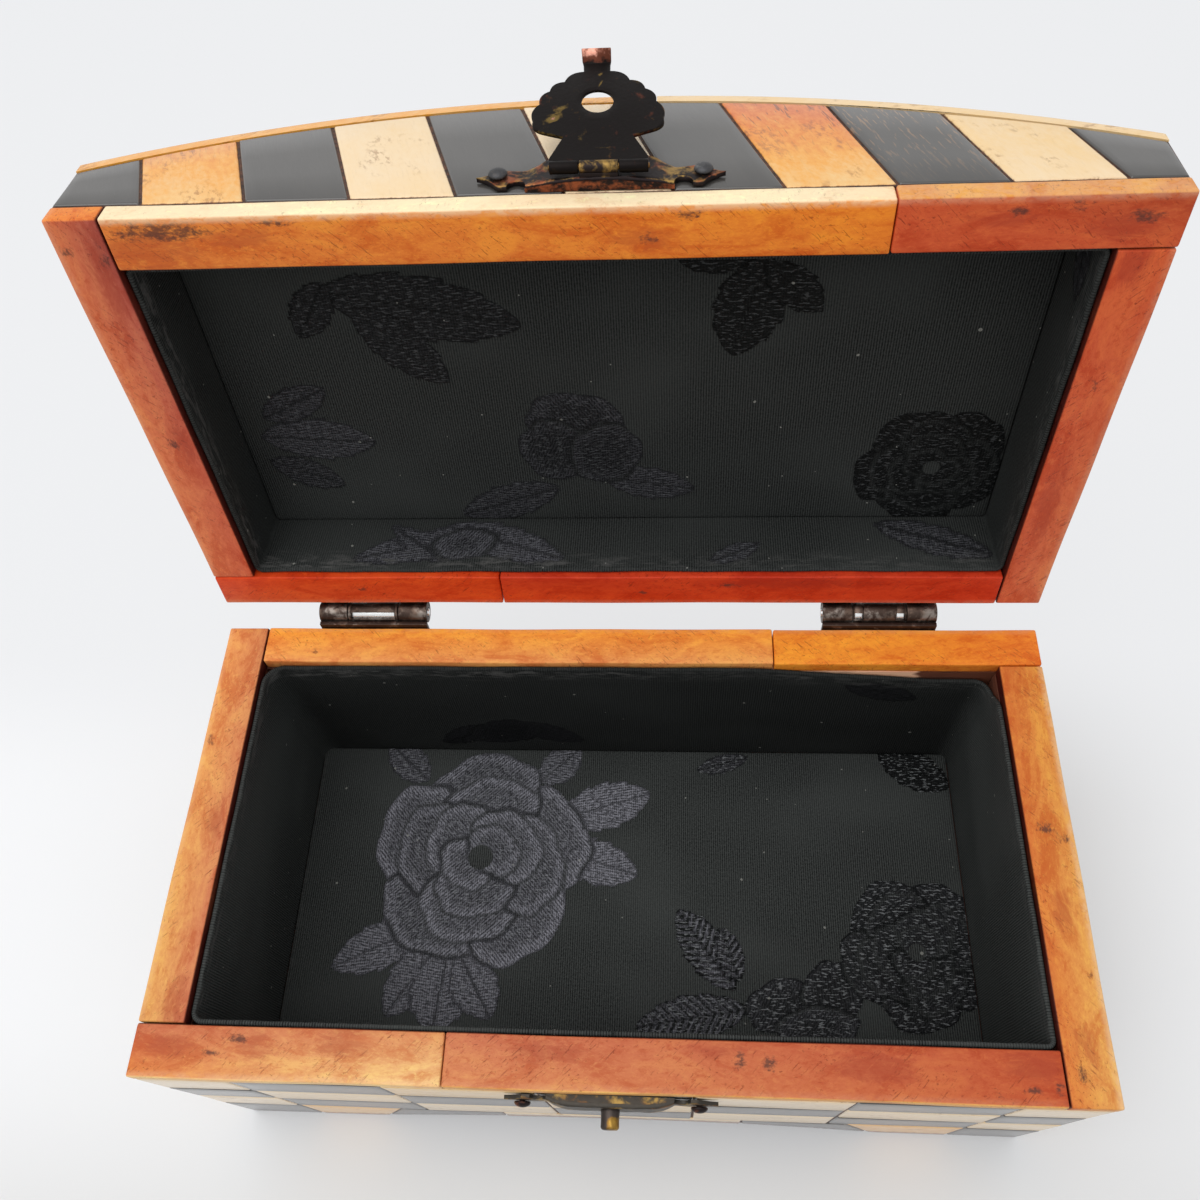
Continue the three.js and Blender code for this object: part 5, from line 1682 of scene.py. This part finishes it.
# the hasp: plate, lip as painted shadow, tongue and web on the lid, two nails, and the flap with its
# knuckles and pin
def fitHasp():
    front = shutBox("lid_front_inlay")[0][1]
    edge = haspPivot[2] - hasp["edgeBelowPivot"]
    outer = front - (plates["glue"] + plates["bulge"] + plates["thick"]) * mm
    half = hasp["tongueHalf"]
    roll, tongueWear = (hasp["knuckle"], hasp["bore"]), flatWear(*hasp["tongueWear"])
    tongue = tubePatch(*roll, -half, half, haspPivot, tongueWear)
    webFoot, webTop = (haspPivot[2] + rise for rise in hasp["web"])
    webLow = (-half, haspPivot[1] + hasp["bore"], webFoot)
    webHigh = (half, outer + hasp["webSunk"], webTop)
    web = barPatch(webLow, webHigh, hasp["webEase"], flatWear(hasp["webWear"]))
    plate = platePatch(edge, 1, front, hasp["plateWear"])
    # painted shadow: the lip, copper and set low, fills the shade under the plate's arch
    lip = lipPatch(edge, 1, front, hasp["lipGilt"], hasp["lipRecess"])
    patches = [plate, lip, tongue, web]
    addPiece("hasp_plate_pressed", "lid", finishes["bronze"], patches, ["hasp_plate"])
    fitNail("hasp_nail_left", "lid", "nail_iron")
    fitNail("hasp_nail_right", "lid", "nail_iron")
    patches = [flapPatch(), tabPatch()]
    for start in (-hasp["knuckleHalf"], hasp["gapHalf"]):
        end = start + hasp["knuckleHalf"] - hasp["gapHalf"]
        patches.append(tubePatch(*roll, start, end, np.zeros(3), flatWear(hasp["rollWear"])))
    addPiece("hasp_flap_shell", "flap", finishes["flap_bronze"], patches, ["hasp_flap"])
    reach = hasp["knuckleHalf"] + hasp["pinProud"]
    pin = tubeProfile(hasp["bore"] - hasp["pinGap"], 0, 2 * reach, hasp["pinEase"])
    pinPatch = turnedPatch(pin, np.array([-reach, 0, 0]), (1, 0, 0), 16, flatWear(hasp["pinWear"]))
    addPiece("hasp_pin_rod", "flap", finishes["worn_brass"], [pinPatch], ["hasp_pin"])


post = {
    "radius": 1.87 * mm,
    "length": 3.6 * mm,
    "ease": 0.6 * mm,
    "collar": 0.35 * mm,
    "root": 0.9 * mm,  # behind the plate
    "rubTip": (0.9 * mm, 2.2 * mm),  # out from the plate
    "rubSide": (-1.2 * mm, 0.3 * mm),  # from its left to its right
    "plateWear": 0.4,
}


# the keeper: plate and lip, two nails, and a stud that is rubbed to gold on one side of its tip
def fitKeeper():
    low, high = shutBox("keeper_plate")
    front = shutBox("base_front_inlay")[0][1]
    plate = platePatch(high[2], -1, front, post["plateWear"], plates["keeperPower"])
    patches = [plate, lipPatch(high[2], -1, front, 0.0, power=plates["keeperPower"])]
    addPiece("keeper_plate_pressed", "base", finishes["keeper_bronze"], patches, ["keeper_plate"])
    fitNail("keeper_nail_left", "base", "bronze")
    fitNail("keeper_nail_right", "base", "bronze")
    postLow, postHigh = shutBox("keeper_post")
    seat = np.array([0.0, low[1], (postLow[2] + postHigh[2]) / 2])
    radius, length, ease = post["radius"], post["length"], post["ease"]
    arc = np.linspace(0, math.pi / 2, 6)
    root, rivet, shoulder = post["root"], 0.6 * radius, 0.97 * radius
    profile = [(0, -root), (rivet, -root), (rivet, 0), (shoulder, 0), (radius, post["collar"])]
    profile += [(shoulder, 2 * post["collar"]), (0.95 * radius, 0.6 * length)]
    profile += [(shoulder - ease * (1 - math.cos(a)), length - ease * (1 - math.sin(a))) for a in arc]
    profile.append((0, length))

    def marks(points):
        tip = smoothstep(low[1] - points[..., 1], *post["rubTip"])
        return {"wear": 0.05 + 0.7 * tip * smoothstep(points[..., 0], *post["rubSide"])}

    stud = turnedPatch(profile, seat, (0, -1, 0), 28, marks)
    addPiece("keeper_post_stud", "base", finishes["worn_brass"], [stud], ["keeper_post"])


# Butt hinges on the back: leaf, web and knuckles in one piece, with two nails in each leaf
butt = {
    "width": 26 * mm,
    "middle": 12 * mm,
    "knuckle": 2.5 * mm,
    "bore": 1.1 * mm,
    "rollBore": 2.0 * mm,
    "sleeve": 1.9 * mm,  # bright bush on the pin, inside the open roll: a painted highlight
    "pin": 0.9 * mm,
    "gap": 0.2 * mm,
    "leafThick": 1.0 * mm,
    "leafEase": 0.15 * mm,
    "nailSpread": 8.2 * mm,
    "nailRadius": 1.5 * mm,
    "nailHeight": 0.5 * mm,
    "nailShank": 0.4 * mm,
    "pinProud": 0.3 * mm,
    "pinEase": 0.3 * mm,
    "sleeveGap": 0.1 * mm,
    "leafWear": 0.3,
    "webWear": 0.35,
    "rollWear": 0.42,
    "nailWear": 0.45,
    "pinWear": 1.2,
    "leafRise": 0.25 * mm,  # base leaf above the pin's middle
    "slotAngle": 145.0,  # where the roll stays open, in degrees from the back
    "slotHalf": 22.0,
    # closed and open lengths of the rolled knuckle, in turn, as shares
    "rolls": {"left": (0.06, 0.88, 0.06), "right": (0.02, 0.17, 0.62, 0.17, 0.02)},
}


# a roll along x: outer arc, lip, inner arc and lip make one loop, carried from end to end
# with eased ends
def rollPatch(start, end, centre, marks):
    slot, half = math.radians(butt["slotAngle"]), math.radians(butt["slotHalf"])
    turn = slot + np.linspace(half, 2 * math.pi - half, 33)
    angle = np.concatenate([turn, turn[::-1]])
    outside = np.arange(len(angle)) < len(turn)
    along = np.array([start, start + tubeEase, end - tubeEase, end])[:, None]
    pull = np.array([tubeEase, 0, 0, tubeEase])[:, None] * outside
    radius = np.where(outside, butt["knuckle"], butt["rollBore"])[None, :] - pull
    y, z = centre[1] + radius * np.cos(angle), centre[2] + radius * np.sin(angle)
    points = np.stack([np.broadcast_to(along, y.shape), y, z], -1)
    return gridPatch(points, closeV=True, capU=True, marks=marks(points))


# a leaf flat on the back, a web out to the pin, knuckles closed or open in turn, and two nail heads
def fitLeaf(side, body, knuckles, upward):
    node = f"hinge_{side}_{body}_leaf"
    low, high = shutBox(node)
    thick, ease = butt["leafThick"], butt["leafEase"]
    turnY, turnZ = hingePivot[1], hingePivot[2]
    webLow = turnZ + butt["knuckle"] - thick if upward else turnZ - butt["knuckle"]
    plateLow = [low[0], low[1], webLow if upward else low[2]]
    plateHigh = [high[0], low[1] + thick, high[2] if upward else turnZ + butt["leafRise"]]
    patches = [barPatch(plateLow, plateHigh, ease, flatWear(butt["leafWear"]))]
    for start, end in knuckles:
        webHigh = (end, turnY, webLow + thick)
        patches.append(barPatch((start, low[1], webLow), webHigh, ease, flatWear(butt["webWear"])))
        shares = (1.0,) if upward else butt["rolls"][side]
        places = start + (end - start) * np.cumsum((0, *shares))
        for k, (first, last) in enumerate(zip(places, places[1:])):
            run = (first, last, hingePivot, flatWear(butt["rollWear"]))
            patches.append(rollPatch(*run) if k % 2 else tubePatch(butt["knuckle"], butt["bore"], *run))
    addPiece(node + "_folded", body, finishes["hinge_steel"], patches, [node])
    middle = (low[0] + high[0]) / 2
    nailZ = (plateLow[2] + plateHigh[2]) / 2
    profile = nailProfile(butt["nailRadius"], butt["nailHeight"], butt["nailShank"])
    heads = []
    for spread in (-butt["nailSpread"], butt["nailSpread"]):
        seat = np.array([middle + spread, low[1] + thick, nailZ])
        heads.append(turnedPatch(profile, seat, (0, 1, 0), 20, flatWear(butt["nailWear"])))
    addPiece(f"hinge_{side}_{body}_nails", body, finishes["hinge_steel"], heads)


# both hinges: the base has the middle knuckle, the lid the two outer ones, and a pin runs through
def fitHinges():
    for side in ("left", "right"):
        low, high = shutBox(f"hinge_{side}_pin")
        middle = (low[0] + high[0]) / 2
        outer, inner = butt["width"] / 2, butt["middle"] / 2
        fitLeaf(side, "base", [(middle - inner, middle + inner)], False)
        clear = inner + butt["gap"]
        fitLeaf(side, "lid", [(middle - outer, middle - clear), (middle + clear, middle + outer)], True)
        reach, worn = outer + butt["pinProud"], flatWear(butt["pinWear"])
        pin = tubeProfile(butt["pin"], 0, 2 * reach, butt["pinEase"])
        start = np.array([middle - reach, *hingePivot[1:]])
        patches = [turnedPatch(pin, start, (1, 0, 0), 20, worn)]
        places = middle - inner + 2 * inner * np.cumsum((0, *butt["rolls"][side]))
        # painted highlight: a bright sleeve on the pin in each open slot of the roll
        for first, last in zip(places[1::2], places[2::2]):
            ends = first + butt["sleeveGap"], last - butt["sleeveGap"]
            patches.append(tubePatch(butt["sleeve"], butt["pin"], *ends, hingePivot, worn))
        node = f"hinge_{side}_pin"
        addPiece(node + "_rod", "base", finishes["pin_steel"], patches, [node])


fitHasp()
fitKeeper()
fitHinges()
print("hardware fitted")

# Boards keep their solids and take a wood finish, with the grain along each board
for node, board in nodes.items():
    if node.endswith("_board"):
        finish = "woodY" if "left" in node or "right" in node else "woodX"
        board.data.materials.clear()
        board.data.materials.append(finishes["woodScraped" if node == "base_back_board" else finish])
print("boards finished")
